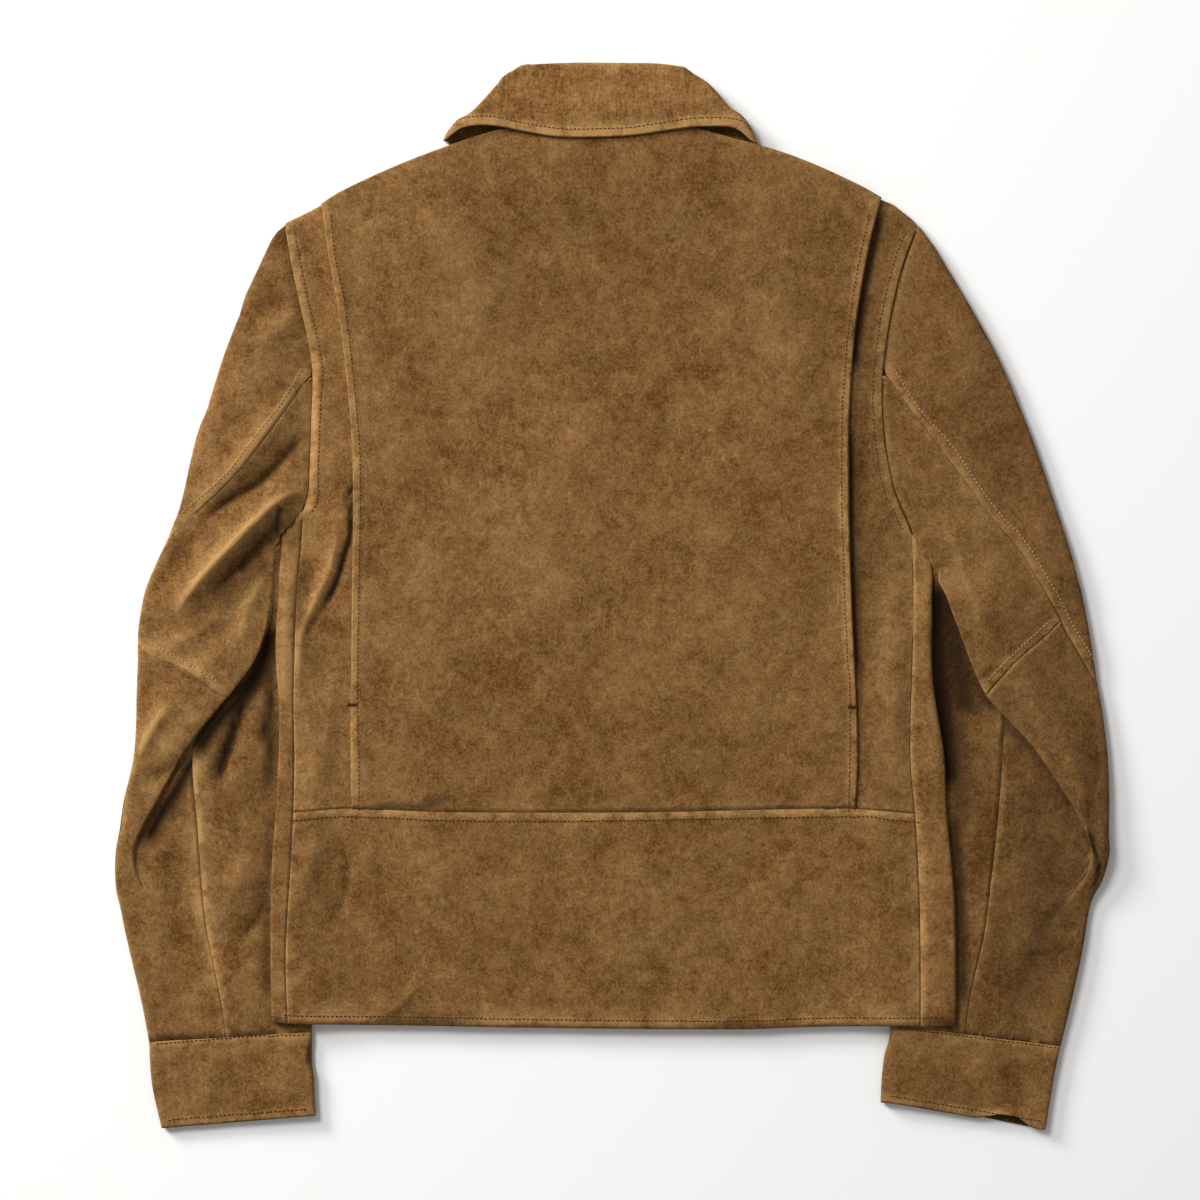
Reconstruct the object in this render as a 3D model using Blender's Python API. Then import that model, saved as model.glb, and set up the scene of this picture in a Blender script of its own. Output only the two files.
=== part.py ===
"""A suede jacket laid flat on its front, back side up.

Tables and sizes are in millimetres: x to the right, y from hem to collar, z up from the surface
that the jacket lies on. Each piece that a maker cuts is one closed wall of leather.
"""
import bpy
import math
import numpy as np

MM = 0.001
WALL = 1.6            # leather and its turned edge
SEAM_INSET = 0.2      # each piece stops this far short of a seam line
BODY_LOFT = 4.8       # outer height of front and side back, one on the other
EDGE_LOFT = 3.9       # the same where both end at the shoulder
UNDERLAP = 22.0       # side back that runs under the centre back
PLEAT_STEP = 2.3      # the centre back lies this much higher than the side back
SLEEVE_UNDER_BODY = 4.4
BODY_LIFT = 5.0       # how far the sleeves lift the body's sides
COLLAR_LIFT = 2.1     # how far the collar's leaves lift the fronts
SLEEVE_LOFT = 6.8     # outer height of a sleeve along its outer fold
CUFF_LOFT = 6.2
WAIST_ROWS = 6
ARMPIT_RISE = 16.0    # the armhole ends this much higher at the side seam than at the side fold
ARMPIT_SET_IN = 1.2
ARMPIT_REACH = 0.88   # how far the undersleeve reaches up beside the armpit, as a share
SEAM_GAP_W = 0.03     # gaps at seams on a sleeve's tight turns, as shares of the turn
HIDDEN_GAP_W = 0.08
STRAIGHT_FROM = -225.0
TIP_RISE = 3.5        # the sleeve's outer fold starts this much higher than its seam at the shoulder
DIAGONAL_END_W = 2.985
ELBOW_DROP = 0.36     # the elbow panel starts this share of a row below the diagonal seam's end
NECK_DROP = 78.0      # front neckline below the back's

SUEDE = (0.212, 0.102, 0.031)

# Body, from hem to the start of the armholes. edge: outermost fold, seam: side seam on the back,
# pleat: edge of the centre back.
BODY_COLUMNS = ("y", "edge_left", "seam_left", "pleat_left", "pleat_right", "seam_right", "edge_right")
BODY = [
    (-312, -248, -236, -190, 178, 224, 250),
    (-262, -249, -238, -190, 178, 224, 250),
    (-213, -249, -235, -190, 177, 223, 249),
    (-157, -245, -232, -190, 177, 220, 243),
    (-115, -243, -231, -191, 179, 216, 242),
    (-78, -242, -232, -191, 178, 217, 235),
    (-45, -246, -231, -190, 176, 218, 232),
    (0, -243, -230, -190, 174, 219, 233),
    (30, -240, -227, -189, 173, 219, 231),
    (60, -240, -225, -189, 172, 213, 229),
    (100, -240, -222, -189, 172, 199, 229),
    (131, -240, -220, -191, 172, 197, 229),
    (161, -240, -218, -194, 174, 196, 229),
    (189, -240, -222, -197, 176, 199, 229),
    (218, -240, -229, -201, 180, 204, 229),
    (247, -240, -234, -207, 185, 213, 229),
    (272, -240, -239, -210, 191, 223, 229),
    (290, -240, -241, -213, 196, 226, 229),
]

# Lines that cross the body, by x.
HEM = [(-250, -309), (-226, -311), (-155, -312), (-40, -314), (94, -315), (147, -313), (250, -312)]
WAIST = [(-235, -157), (-192, -154), (-115, -157), (0, -157), (173, -154), (199, -156), (225, -158)]
SHOULDER = [(-241, 272), (-213, 286), (-201, 294), (-180, 304), (-155, 316), (-133, 324), (-122, 328),
            (-83, 341), (-60, 346), (0, 347), (50, 345), (72, 338), (106, 330), (120, 326), (138, 320),
            (156, 310), (174, 303), (196, 291), (205, 283), (223, 270)]

# Armhole stations, from the side edge up to the shoulder tip.
ARMHOLE_LEFT = [(-240, 47), (-237, 56), (-225, 65), (-221, 74), (-221, 92), (-220, 119), (-219, 146),
                (-218, 167), (-223, 193), (-229, 218), (-235, 247), (-238.6, 268)]
ARMHOLE_RIGHT = [(231, 30), (224, 40), (217, 51), (211, 64), (203, 82), (198, 115), (196, 144),
                 (197, 168), (201, 198), (208, 230), (214, 250), (221.8, 267.5)]

# Sleeve sections: outermost fold, the edge of the layer that the bent elbow lays over the forearm,
# the innermost fold, and how much of that overlap there is (0 none, 1 whole).
SLEEVE_COLUMNS = ("y", "outer", "lap", "inner", "overlap")
SLEEVE_LEFT = [
    (272, -244.2, -240, -239, 0), (262, -248, -239, -238, 0), (244, -256, -237, -236, 0),
    (196, -279, -226, -224, 0), (154, -292.5, -220, -219, 0), (111, -305.5, -222, -220, 0),
    (66, -315, -228, -224, 0),
    (47, -322.5, -247.4, -240.6, 0), (30, -330, -248.5, -240.8, 0), (8, -340, -249, -240, 0.04),
    (-12, -344, -250, -237, 0.13), (-30, -346, -254, -234, 0.43), (-50, -346, -266, -231, 1),
    (-71, -347, -283, -228, 1), (-91, -347, -300, -226, 1), (-113, -348, -317, -224, 1),
    (-133, -352, -329, -223, 1), (-152, -357, -341, -222, 1), (-175, -359, -347, -221, 0.6),
    (-199, -361, -347.5, -220, 0.2), (-225, -359, -338, -220, 0), (-254, -353, -325, -220, 0),
    (-288, -345, -318, -219, 0), (-324, -338, -312, -219, 0), (-350, -337, -310, -219, 0),
    (-386, -329, -304, -217, 0),
]
SLEEVE_RIGHT = [
    (272, 227.4, 223, 222, 0), (262, 231, 222, 221, 0), (227, 252, 209, 208, 0), (178, 280, 200, 199, 0),
    (144, 295, 198, 196, 0), (109, 309, 201, 198, 0), (64, 324, 214, 211, 0),
    (30, 335, 238.4, 231.6, 0), (14, 339, 243, 233, 0.12), (0, 343, 249, 233.4, 0.55),
    (-16, 346, 254, 229, 1), (-41, 350, 263, 218, 1), (-70, 355, 276, 210, 1),
    (-97, 359, 297, 205, 1), (-134, 362, 323, 202, 1), (-160, 362, 339, 201, 1),
    (-182, 361, 347.5, 200, 0.75), (-202, 357, 345.5, 200, 0.35), (-222, 348, 334, 200, 0.05),
    (-245, 345, 318, 200, 0), (-280, 338, 308, 201, 0), (-310, 331, 300, 203, 0),
    (-345, 323, 290, 198, 0), (-388, 316, 280, 196, 0),
]

# Rows that run round a sleeve: y at the outer fold and y at the inner one.
SLEEVE_ROWS_LEFT = [
    (40, 47), (24, 34), (8, 20), (-4, 6), (-12, -6), (-18, -17), (-22, -25), (-27, -38), (-31, -51),
    (-36, -71),
    (-52, -82), (-68, -94), (-84, -106), (-100, -119), (-116, -132), (-132, -146), (-148, -160),
    (-164, -174), (-180, -188), (-197, -203), (-216, -220), (-236, -238), (-256, -257), (-278, -277),
    (-301, -297), (-324, -317),
]
SLEEVE_ROWS_RIGHT = [
    (30, 30), (28, 22), (26, 14), (24, 7), (22, 0), (20, -8), (17, -16), (12, -33), (8, -50), (3, -70),
    (-14, -80), (-32, -90),
    (-50, -101), (-68, -113), (-86, -126), (-104, -140), (-122, -154), (-140, -168), (-158, -182),
    (-175, -195), (-190, -207), (-206, -220), (-224, -234), (-243, -249), (-264, -266), (-288, -284),
    (-307, -298), (-327, -312),
]
ELBOW_ROW_LEFT = 9
ELBOW_ROW_RIGHT = 9
CUFF_ROWS_LEFT = [(-324, -317), (-340, -331), (-356, -347), (-372, -363), (-387, -378)]
CUFF_ROWS_RIGHT = [(-327, -312), (-342, -326), (-358, -340), (-373, -354), (-388, -368)]

# Seam from the armhole to the outer fold, and the forearm seam, by y.
DIAGONAL_LEFT = [(167, -218), (140, -234), (120, -249), (99, -265), (84, -277), (69, -294), (59, -306),
                 (50, -314), (42, -322), (32, -336),
                 (16, -390)]
DIAGONAL_RIGHT = [(168, 197), (137, 215), (104, 243), (79, 260), (58, 275), (36, 295), (13, 309),
                  (-7, 321), (-20, 327), (-41, 340), (-61, 351),
                  (-72, 358), (-90, 370)]
FOREARM_SEAM_LEFT = [(-71, -303), (-95, -306), (-122, -306), (-168, -302), (-213, -299), (-259, -293),
                     (-288, -286), (-324, -281)]
FOREARM_SEAM_RIGHT = [(-60, 288), (-79, 286), (-121, 284), (-173, 280), (-206, 276), (-245, 271), (-280, 263),
                      (-312, 257)]

# Folds on the upper side: a line from (x1, y1) to (x2, y2), its height (valleys negative), half width.
SLEEVE_FOLDS = [
    (-234, 108, -280, 64, -2.6, 9), (-232, 74, -322, -16, 5.2, 13), (-247, 40, -284, -6, -2.2, 9),
    (-330, -84, -345, -118, 2.2, 9), (-268, -76, -287, -138, -1.6, 6), (-256, -192, -272, -246, -1.5, 7),
    (-262, 190, -240, 210, 1.6, 9), (300, 60, 330, -10, 1.6, 16), (325, -105, 350, -160, 1.4, 12),
    (262, 60, 296, -30, 1.4, 18),
]
BODY_FOLDS = [
    (-205, 36, -212, -40, 1.6, 9), (-195, -175, -216, -240, -1.4, 9), (205, 0, 200, -120, 1.2, 10),
    (184, 215, 190, 120, -0.8, 8), (-120, 300, -60, 200, 0.9, 26), (60, 300, 110, 210, 0.8, 26),
    (-30, 150, -60, -60, 0.7, 40), (70, 120, 90, -80, 0.7, 40), (40, -190, 10, -300, 0.6, 22),
]

# Collar: outline of the turned-over fall and its free edge, by x.
COLLAR_TOP = [(-122, 331), (-113, 345), (-101, 357), (-82, 377), (-64, 387.5), (-20, 389), (22, 388.5),
              (65, 381), (77, 367), (91, 348), (105, 331)]
COLLAR_EDGE = [(-122, 329), (-116, 338), (-107, 343), (-89, 343), (-64, 338), (-37, 334), (-13, 334),
               (13, 335), (39, 339), (65, 342), (89, 342), (99, 337), (105, 329)]

COLLAR_ROLL = 2.4     # radius of the roll where fall and stand meet
COLLAR_BLEND = 40.0   # width over which the fall's rows bend towards its side folds

# Where the fall turns over at the neck's sides: x and y of that fold, and x of the leaf's inner
# edge, from the roll (0) to the free edge (1). Tips: the leaf's outer and inner corners underneath.
COLLAR_FOLD_LEFT = [(0, -62, 385), (0.19, -74, 380), (0.39, -83, 370.5), (0.61, -93, 358.5),
                    (0.81, -104, 348.5), (1, -116, 338)]
COLLAR_FOLD_RIGHT = [(0, 50, 383.6), (0.19, 66.5, 375), (0.39, 73.5, 366), (0.61, 82, 355.5),
                     (0.81, 91.5, 346), (1, 99, 337)]
COLLAR_LEAF_LEFT = [(0, -58), (0.5, -54), (1, -48)]
COLLAR_LEAF_RIGHT = [(0, 26), (0.5, 34), (1, 36)]
COLLAR_TIPS = {-1: ((-84, 236), (-14, 268)), 1: ((74, 236), (12, 268))}


def curve(points):
    """A smooth line through a table's points that doesn't overshoot them."""
    t, v = np.array(sorted(points), float).T
    step = np.diff(t)
    slope = np.diff(v) / step
    tangent = np.concatenate([slope[:1], np.zeros(len(t) - 2), slope[-1:]])
    product = slope[:-1] * slope[1:]
    total = slope[:-1] + slope[1:]
    same = product > 0
    tangent[1:-1][same] = 2 * product[same] / total[same]

    def at(q):
        q = np.clip(q, t[0], t[-1])
        k = np.clip(np.searchsorted(t, q) - 1, 0, len(step) - 1)
        s = (q - t[k]) / step[k]
        rise = v[k] * (1 + 2 * s) * (1 - s) ** 2 + v[k + 1] * s * s * (3 - 2 * s)
        return rise + step[k] * (tangent[k] * s * (1 - s) ** 2 - tangent[k + 1] * s * s * (1 - s))
    return at


def columns(names, rows):
    return {name: curve([(row[0], row[i]) for row in rows]) for i, name in enumerate(names) if i}


def ease(t):
    t = np.clip(t, 0.0, 1.0)
    return t * t * (3 - 2 * t)


def mix(a, b, t):
    return a + (b - a) * t


def folds(rows, x, y):
    """Soft ridges and valleys along straight lines, fading out at their ends."""
    height = np.zeros(np.broadcast(x, y).shape)
    for x1, y1, x2, y2, top, width in rows:
        length = math.hypot(x2 - x1, y2 - y1)
        along = ((x - x1) * (x2 - x1) + (y - y1) * (y2 - y1)) / length
        across = ((x - x1) * (y2 - y1) - (y - y1) * (x2 - x1)) / length
        fade = ease(along / (0.3 * length) + 0.3) * ease((length - along) / (0.3 * length) + 0.3)
        height = height + top * fade * np.exp(-(across / width) ** 2)
    return height


body = columns(BODY_COLUMNS, BODY)
hem_y = curve(HEM)
waist_y = curve(WAIST)
shoulder_y = curve(SHOULDER)
collar_top_y = curve(COLLAR_TOP)
collar_edge_y = curve(COLLAR_EDGE)


def collar_side(fold, leaf):
    fold_x, fold_y = curve([row[:2] for row in fold]), curve([row[::2] for row in fold])
    leaf_x = curve(leaf)
    return lambda share: (float(fold_x(share)), float(leaf_x(share)), float(fold_y(share)))


COLLAR_SIDES = {-1: collar_side(COLLAR_FOLD_LEFT, COLLAR_LEAF_LEFT),
                1: collar_side(COLLAR_FOLD_RIGHT, COLLAR_LEAF_RIGHT)}


class Side:
    """One side of the jacket. sign is -1 on the left and 1 on the right."""
    def __init__(self, sign, sleeve, rows, cuff_rows, elbow_row, armhole, diagonal, forearm_seam):
        self.sign = sign
        self.name = "left" if sign < 0 else "right"
        self.sleeve = columns(SLEEVE_COLUMNS, sleeve)
        self.rows = rows
        self.cuff_rows = cuff_rows
        self.elbow_row = elbow_row
        self.armhole = armhole
        self.armhole_x = curve([(y, x) for x, y in armhole])
        self.armpit_y = curve(armhole[:4])
        self.diagonal = curve(diagonal)
        self.diagonal_start = max(y for y, x in diagonal)
        self.forearm_seam = curve(forearm_seam)
        self.forearm_seam_start = max(y for y, x in forearm_seam)
        self.armpit = armhole[0][1]
        self.edge = body["edge_" + self.name]
        self.seam = body["seam_" + self.name]
        self.pleat = body["pleat_" + self.name]


LEFT = Side(-1, SLEEVE_LEFT, SLEEVE_ROWS_LEFT, CUFF_ROWS_LEFT, ELBOW_ROW_LEFT, ARMHOLE_LEFT,
            DIAGONAL_LEFT, FOREARM_SEAM_LEFT)
RIGHT = Side(1, SLEEVE_RIGHT, SLEEVE_ROWS_RIGHT, CUFF_ROWS_RIGHT, ELBOW_ROW_RIGHT, ARMHOLE_RIGHT,
             DIAGONAL_RIGHT, FOREARM_SEAM_RIGHT)
SIDES = (LEFT, RIGHT)


# ---- heights of the body's layers ----

def front_under(x, y):
    """Underside of the fronts: on the surface, over the sleeves and over the collar's leaves."""
    height = COLLAR_LIFT * ease((y - 188) / 30) * ease((178 - np.abs(x)) / 38)
    for side in SIDES:
        inner = np.abs(side.sleeve["inner"](np.minimum(y, side.armpit)))
        over = ease((x * side.sign - (inner - 26)) / 20)
        height = height + BODY_LIFT * over * ease((side.armpit - 4 - y) / 34)
    return height


def side_back_top(x, y):
    """Upper side of the side backs, which runs on under the centre back."""
    shoulder = ease((shoulder_y(x) - y) / 26)
    relief = folds(BODY_FOLDS, x, y) * shoulder
    return front_under(x, y) + mix(EDGE_LOFT, BODY_LOFT, shoulder) + np.maximum(relief, -0.8)


def centre_back_top(x, y):
    near_pleat = np.maximum(ease((x - body["pleat_right"](y) + UNDERLAP + 14) / 12),
                            ease((body["pleat_left"](y) + UNDERLAP + 14 - x) / 12))
    raised = np.maximum(near_pleat, ease((shoulder_y(x) - y) / 26))
    return side_back_top(x, y) + PLEAT_STEP * raised


def waist_top(x, y):
    """Level with the centre back in the middle and with the side backs at the sides."""
    middle = ease((body["pleat_right"](y) + 4 - x) / 10) * ease((x - body["pleat_left"](y) + 4) / 10)
    return side_back_top(x, y) + PLEAT_STEP * middle


# ---- walls ----

def inset_border(grid, used):
    """Draws the border of a grid in by the seam inset, towards its next row or column."""
    moved = grid.copy()
    rows, cols = grid.shape[:2]
    for r in range(rows):
        live = [c for c in range(cols) if used[r, c]]
        for end, nxt in ((live[0], live[1]), (live[-1], live[-2])):
            step = grid[r, nxt] - grid[r, end]
            moved[r, end] += SEAM_INSET * step / np.linalg.norm(step)
    for c in range(cols):
        live = [r for r in range(rows) if used[r, c]]
        for end, nxt in ((live[0], live[1]), (live[-1], live[-2])):
            step = grid[nxt, c] - grid[end, c]
            moved[end, c] += SEAM_INSET * step / np.linalg.norm(step)
    return moved


def wall(name, outer, inner, cells=None, closed=False):
    """One closed solid between two grids of points. cells picks the quads of a cut-out grid."""
    rows, cols = outer.shape[:2]
    last = cols if closed else cols - 1
    if cells is None:
        cells = np.ones((rows - 1, last), bool)
    used = np.zeros((rows, cols), bool)
    for r, c in zip(*np.nonzero(cells)):
        for a, b in ((r, c), (r + 1, c), (r, (c + 1) % cols), (r + 1, (c + 1) % cols)):
            used[a, b] = True
    if not closed:
        outer, inner = inset_border(outer, used), inset_border(inner, used)
    index = -np.ones((2, rows, cols), int)
    points = []
    for layer, grid in enumerate((outer, inner)):
        for r, c in zip(*np.nonzero(used)):
            index[layer, r, c] = len(points)
            points.append(grid[r, c] * MM)
    faces = []
    edges = {}
    for r, c in zip(*np.nonzero(cells)):
        ring = [(r, c), (r, (c + 1) % cols), (r + 1, (c + 1) % cols), (r + 1, c)]
        faces.append([index[0][p] for p in ring])
        faces.append([index[1][p] for p in reversed(ring)])
        for a, b in zip(ring, ring[1:] + ring[:1]):
            if edges.pop((b, a), None) is None:
                edges[a, b] = True
    for a, b in edges:
        faces.append([index[0][b], index[0][a], index[1][a], index[1][b]])
    points = np.array(points)
    volume = sum(np.dot(points[f[0]], np.cross(points[f[k]], points[f[k + 1]]))
                 for f in faces for k in (1, 2))
    if volume < 0:
        faces = [f[::-1] for f in faces]
    mesh = bpy.data.meshes.new(name)
    mesh.from_pydata(points.tolist(), [], [[int(i) for i in f] for f in faces])
    mesh.shade_smooth()
    mesh.set_sharp_from_angle(angle=math.radians(50))
    material = bpy.data.materials.new(name + "_suede")
    material.use_nodes = True
    shader = material.node_tree.nodes["Principled BSDF"]
    shader.inputs["Base Color"].default_value = (*SUEDE, 1)
    shader.inputs["Roughness"].default_value = 0.95
    mesh.materials.append(material)
    part = bpy.data.objects.new(name, mesh)
    bpy.context.scene.collection.objects.link(part)
    return part


def sheet(name, x, y, top):
    """A wall under a surface of heights."""
    outer = np.stack([x, y, top], axis=2)
    inner = np.stack([x, y, top - WALL], axis=2)
    return wall(name, outer, inner)


def grid_between(left, right, bottom, top, across, along):
    """Points of a panel between two side lines x(y) and two cross lines y(x)."""
    x = mix(left(0.0), right(0.0), across[None, :]) + np.zeros((len(along), 1))
    for _ in range(6):
        y = mix(bottom(x), top(x), along[:, None])
        x = mix(left(y), right(y), across[None, :])
    return x, y


def side_stations(side):
    """y of the rows along a side seam, above the waist."""
    return np.linspace(-138, side.armpit - 12, 8)


def spread(count, dense_ends=0.0):
    t = np.linspace(0, 1, count)
    return mix(t, 0.5 - 0.5 * np.cos(np.pi * t), dense_ends)


# ---- back ----

def build_centre_back():
    along = np.concatenate([spread(14)[:-1] * 0.9, [0.91, 0.95, 0.98, 1]])[:, None]
    between = np.linspace(0, 1, 13)
    y = mix(-155.0, 300.0, along) + np.zeros((1, len(between) + 4))
    for _ in range(8):
        left, right = body["pleat_left"](y[:, :3]), body["pleat_right"](y[:, -3:])
        middle = mix(body["pleat_left"](y[:, 2:-2]) + UNDERLAP,
                     body["pleat_right"](y[:, 2:-2]) - UNDERLAP, between)
        x = np.concatenate([left[:, :2] + [0, UNDERLAP / 2], middle, right[:, 1:] - [UNDERLAP / 2, 0]],
                           axis=1)
        y = mix(waist_y(x), shoulder_y(x), along)
    sheet("back_center", x, y, centre_back_top(x, y))


def build_side_back(side):
    """From under the centre back to the side seam and, above the armpit, to the armhole."""
    stations = [waist_y(side.seam(-157))] + list(side_stations(side))
    stations += [y for x, y in side.armhole[1:]] + [side.armhole[-1][1] + 3]
    stations = np.array(stations, float)[:, None]
    pleat = side.pleat(stations)
    rim = np.where(stations > side.armpit + 14, side.armhole_x(stations), side.seam(stations))
    x = np.concatenate([pleat - side.sign * UNDERLAP * np.array([1, 0.5, 0]),
                        mix(pleat, rim, np.array([0.3, 0.6, 0.82, 1]))], axis=1)
    y = stations + np.zeros_like(x)
    top_row = shoulder_y(x[-1])
    y[-1] = np.minimum(top_row, shoulder_y(side.pleat(280.0))) - 1.0
    y[0] = waist_y(x[0])
    sheet("back_side_" + side.name, x, y, side_back_top(x, y))


def build_waist():
    x, y = grid_between(body["seam_left"], body["seam_right"], hem_y, waist_y, spread(21, 0.45),
                        np.linspace(0, 1, WAIST_ROWS))
    sheet("back_waist", x, y, waist_top(x, y))


# ---- fronts ----

def front_top_y(x):
    """Shoulder line, then the lower neckline of the fronts."""
    return shoulder_y(x) - 0.6 - NECK_DROP * ease((88 - np.abs(x + 5)) / 80)


def build_front(side):
    """The front lies underneath and wraps round the body's side up to the side seam."""
    share = np.array([0, 0.3, 0.6, 0.74, 0.81, 0.87, 0.93, 1])
    flat_cols = len(share)
    radius = BODY_LOFT / 2
    turn = np.linspace(-math.pi / 2, math.pi / 2, 6)
    lower = np.concatenate([np.linspace(-312, -157, WAIST_ROWS), side_stations(side)])
    arm = np.array([side.armhole[0][1]] + [y for x, y in side.armhole[2:]])
    rows = len(lower) + len(arm) + 1
    cols = flat_cols + 2 + len(turn) + 1
    outer = np.zeros((rows, cols, 3))
    inner = np.zeros((rows, cols, 3))
    centre_front = side.sign * 1.0
    for r in range(rows):
        y = lower[r] if r < len(lower) else arm[min(r - len(lower), len(arm) - 1)]
        edge = side.edge(y)
        hinge = side.armhole_x(y) if y > side.armpit + ARMPIT_RISE else side.seam(y)
        x = np.concatenate([mix(centre_front, hinge, share), np.full(cols - flat_cols, hinge)])
        row_y = np.full(cols, float(y))
        if r == rows - 1:
            row_y = front_top_y(x)
        elif r == len(lower):
            near_seam = ease((share[np.minimum(np.arange(cols), flat_cols - 1)] - 0.6) / 0.4)
            row_y = mix(y, side.armpit_y(hinge) - ARMPIT_SET_IN, near_seam)
        elif r > len(lower) + 5:
            limit = front_top_y(x)
            row_y = arm[5] + (limit - arm[5]) * (y - arm[5]) / (arm[-1] + 5 - arm[5])
            row_y[flat_cols - 1:] = y
        if r < WAIST_ROWS:
            row_y = mix(hem_y(x), waist_y(x), (y + 312) / 155)
        base = front_under(x, row_y)
        outer[r] = np.stack([x, row_y, base], axis=1)
        inner[r] = np.stack([x, row_y, base + WALL], axis=1)
        if r > len(lower):
            continue
        arc_x = edge - side.sign * radius
        wrap_x = np.concatenate([np.linspace(hinge, arc_x, 4)[1:3], arc_x + side.sign * radius * np.cos(turn),
                                 [side.seam(y)]])
        wrap_y = np.full(len(wrap_x), float(y))
        if r == 0:
            wrap_y = hem_y(wrap_x)
        if r == len(lower):
            wrap_y = side.armpit_y(wrap_x) - ARMPIT_SET_IN
        floor = front_under(np.full(len(wrap_x), edge), wrap_y)
        height = np.concatenate([[0, 0], radius + radius * np.sin(turn), [BODY_LOFT]])
        nx = np.concatenate([[0, 0], side.sign * np.cos(turn), [0]])
        nz = np.concatenate([[-1, -1], np.sin(turn), [1]])
        bottom = np.concatenate([front_under(wrap_x[:2], wrap_y[:2]), floor[2:]])
        seat = side_back_top(wrap_x[-1], wrap_y[-1])
        z = bottom + height
        z[-1] = seat
        outer[r, flat_cols:] = np.stack([wrap_x, wrap_y, z], axis=1)
        inner[r, flat_cols:] = outer[r, flat_cols:] - WALL * np.stack([nx, 0 * nx, nz], axis=1)
    cells = np.ones((rows - 1, cols - 1), bool)
    cells[len(lower):, flat_cols - 1:] = False
    wall("front_" + side.name, outer, inner, cells)


# ---- sleeves ----

def sleeve_point(side, w, y):
    """A point of the sleeve's outer face. w runs round the section:
    0-1 underside outwards, 1-2 outer fold, 2-3 upper layer, 3-6 the overlap's turn under and back,
    6-7 lower layer, 7-8 inner fold, 8-9 underside up to the inner seam."""
    s = side.sign
    outer = side.sleeve["outer"](y)
    lap = side.sleeve["lap"](y)
    inner = side.sleeve["inner"](y)
    amount = side.sleeve["overlap"](y)
    above = y > side.armpit + 1
    body_height = side_back_top(side.armhole_x(np.maximum(y, side.armpit + 4)), y)
    cuff = ease((-314 - y) / 12)
    inner_height = np.where(above, body_height, mix(SLEEVE_UNDER_BODY, CUFF_LOFT, cuff))
    r_in = inner_height / 2
    theta = math.pi * np.clip(amount, 0, 1) ** 0.8
    turn_out, turn_in = WALL + 0.45, 0.6
    run = np.where(above, 0.0, 3.1)
    run = run + 14 * ease((amount - 0.75) / 0.25)
    run = np.minimum(run, np.maximum(np.abs(outer - lap) - 15, 1.5))
    drop = (turn_out + turn_in) * (1 - np.cos(theta)) + run * np.sin(theta)
    low = np.where(above, body_height, 4.6)
    high = low + drop
    start = lap + s * turn_out * np.sin(np.minimum(theta, math.pi / 2))
    end = np.where(above, side.armhole_x(np.maximum(y, side.armpit)), start)
    low_outside = mix(SLEEVE_LOFT, CUFF_LOFT, cuff)
    width = np.abs(outer - end)
    outer_height = mix(high, low_outside, ease((width - run - 8) / 28))
    r_out = np.minimum(outer_height / 2, width * 0.45)
    # underside
    t = np.clip(w, 0, 1)
    seam_x = np.where(above, side.armhole_x(np.maximum(y, side.armpit)), inner + s * 14)
    x = mix(seam_x, outer - s * r_out, t)
    z = np.zeros_like(x)
    # outer fold
    t = (w - 1) * math.pi - math.pi / 2
    on = w > 1
    x = np.where(on, outer - s * r_out + s * r_out * np.cos(t), x)
    z = np.where(on, outer_height / 2 * (1 + np.sin(t)), z)
    # upper layer
    t = np.clip(w - 2, 0, 1)
    on = w > 2
    x = np.where(on, mix(outer - s * r_out, end, t), x)
    crown = 2.0 * np.sin(math.pi * t) ** 2 * ease((width - 20) / 60)
    slope = mix(high, low_outside, ease((np.abs(x - end) - run - 8) / 28))
    slope = mix(outer_height, slope, ease(t * width / 12))
    relief = folds(SLEEVE_FOLDS, x, y) * ease((s * (outer - x) - 4) / 14) * ease((s * (x - end) - 2) / 10)
    z = np.where(on, slope + crown + relief, z)
    # turn under, run back, turn again
    t = np.clip(w - 3, 0, 1) * theta
    on = w > 3
    x = np.where(on, start - s * turn_out * np.sin(t), x)
    z = np.where(on, high - turn_out * (1 - np.cos(t)), z)
    t = np.clip(w - 4, 0, 1) * run
    on = w > 4
    x = np.where(on, x - s * t * np.cos(theta), x)
    z = np.where(on, z - t * np.sin(theta), z)
    t = theta * (1 - np.clip(w - 5, 0, 1))
    on = w > 5
    x = np.where(on, x - s * turn_in * (np.sin(theta) - np.sin(t)), x)
    z = np.where(on, z - turn_in * (np.cos(t) - np.cos(theta)), z)
    # lower layer
    t = np.clip(w - 6, 0, 1)
    on = w > 6
    x = np.where(on, mix(x, inner + s * r_in, t), x)
    outside = ease((s * (x - side.edge(y)) - 3) / 16) * (1 - cuff)
    outside = outside * ease((s * (start - x) - 3) / 14)
    swell = outside * (1.6 + np.maximum(folds(SLEEVE_FOLDS, x, y), -0.9))
    z = np.where(on, mix(z, inner_height, ease(t)) + swell * ease((-60 - y) / 50), z)
    # inner fold and the strip underneath
    t = math.pi / 2 + np.clip(w - 7, 0, 1) * math.pi
    on = w > 7
    x = np.where(on, inner + s * r_in + s * r_in * np.cos(t), x)
    z = np.where(on, r_in * (1 + np.sin(t)), z)
    t = np.clip(w - 8, 0, 1)
    on = w > 8
    x = np.where(on, mix(inner + s * r_in, inner + s * 14, t), x)
    z = np.where(on, 0.0, z)
    return x, z


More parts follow.
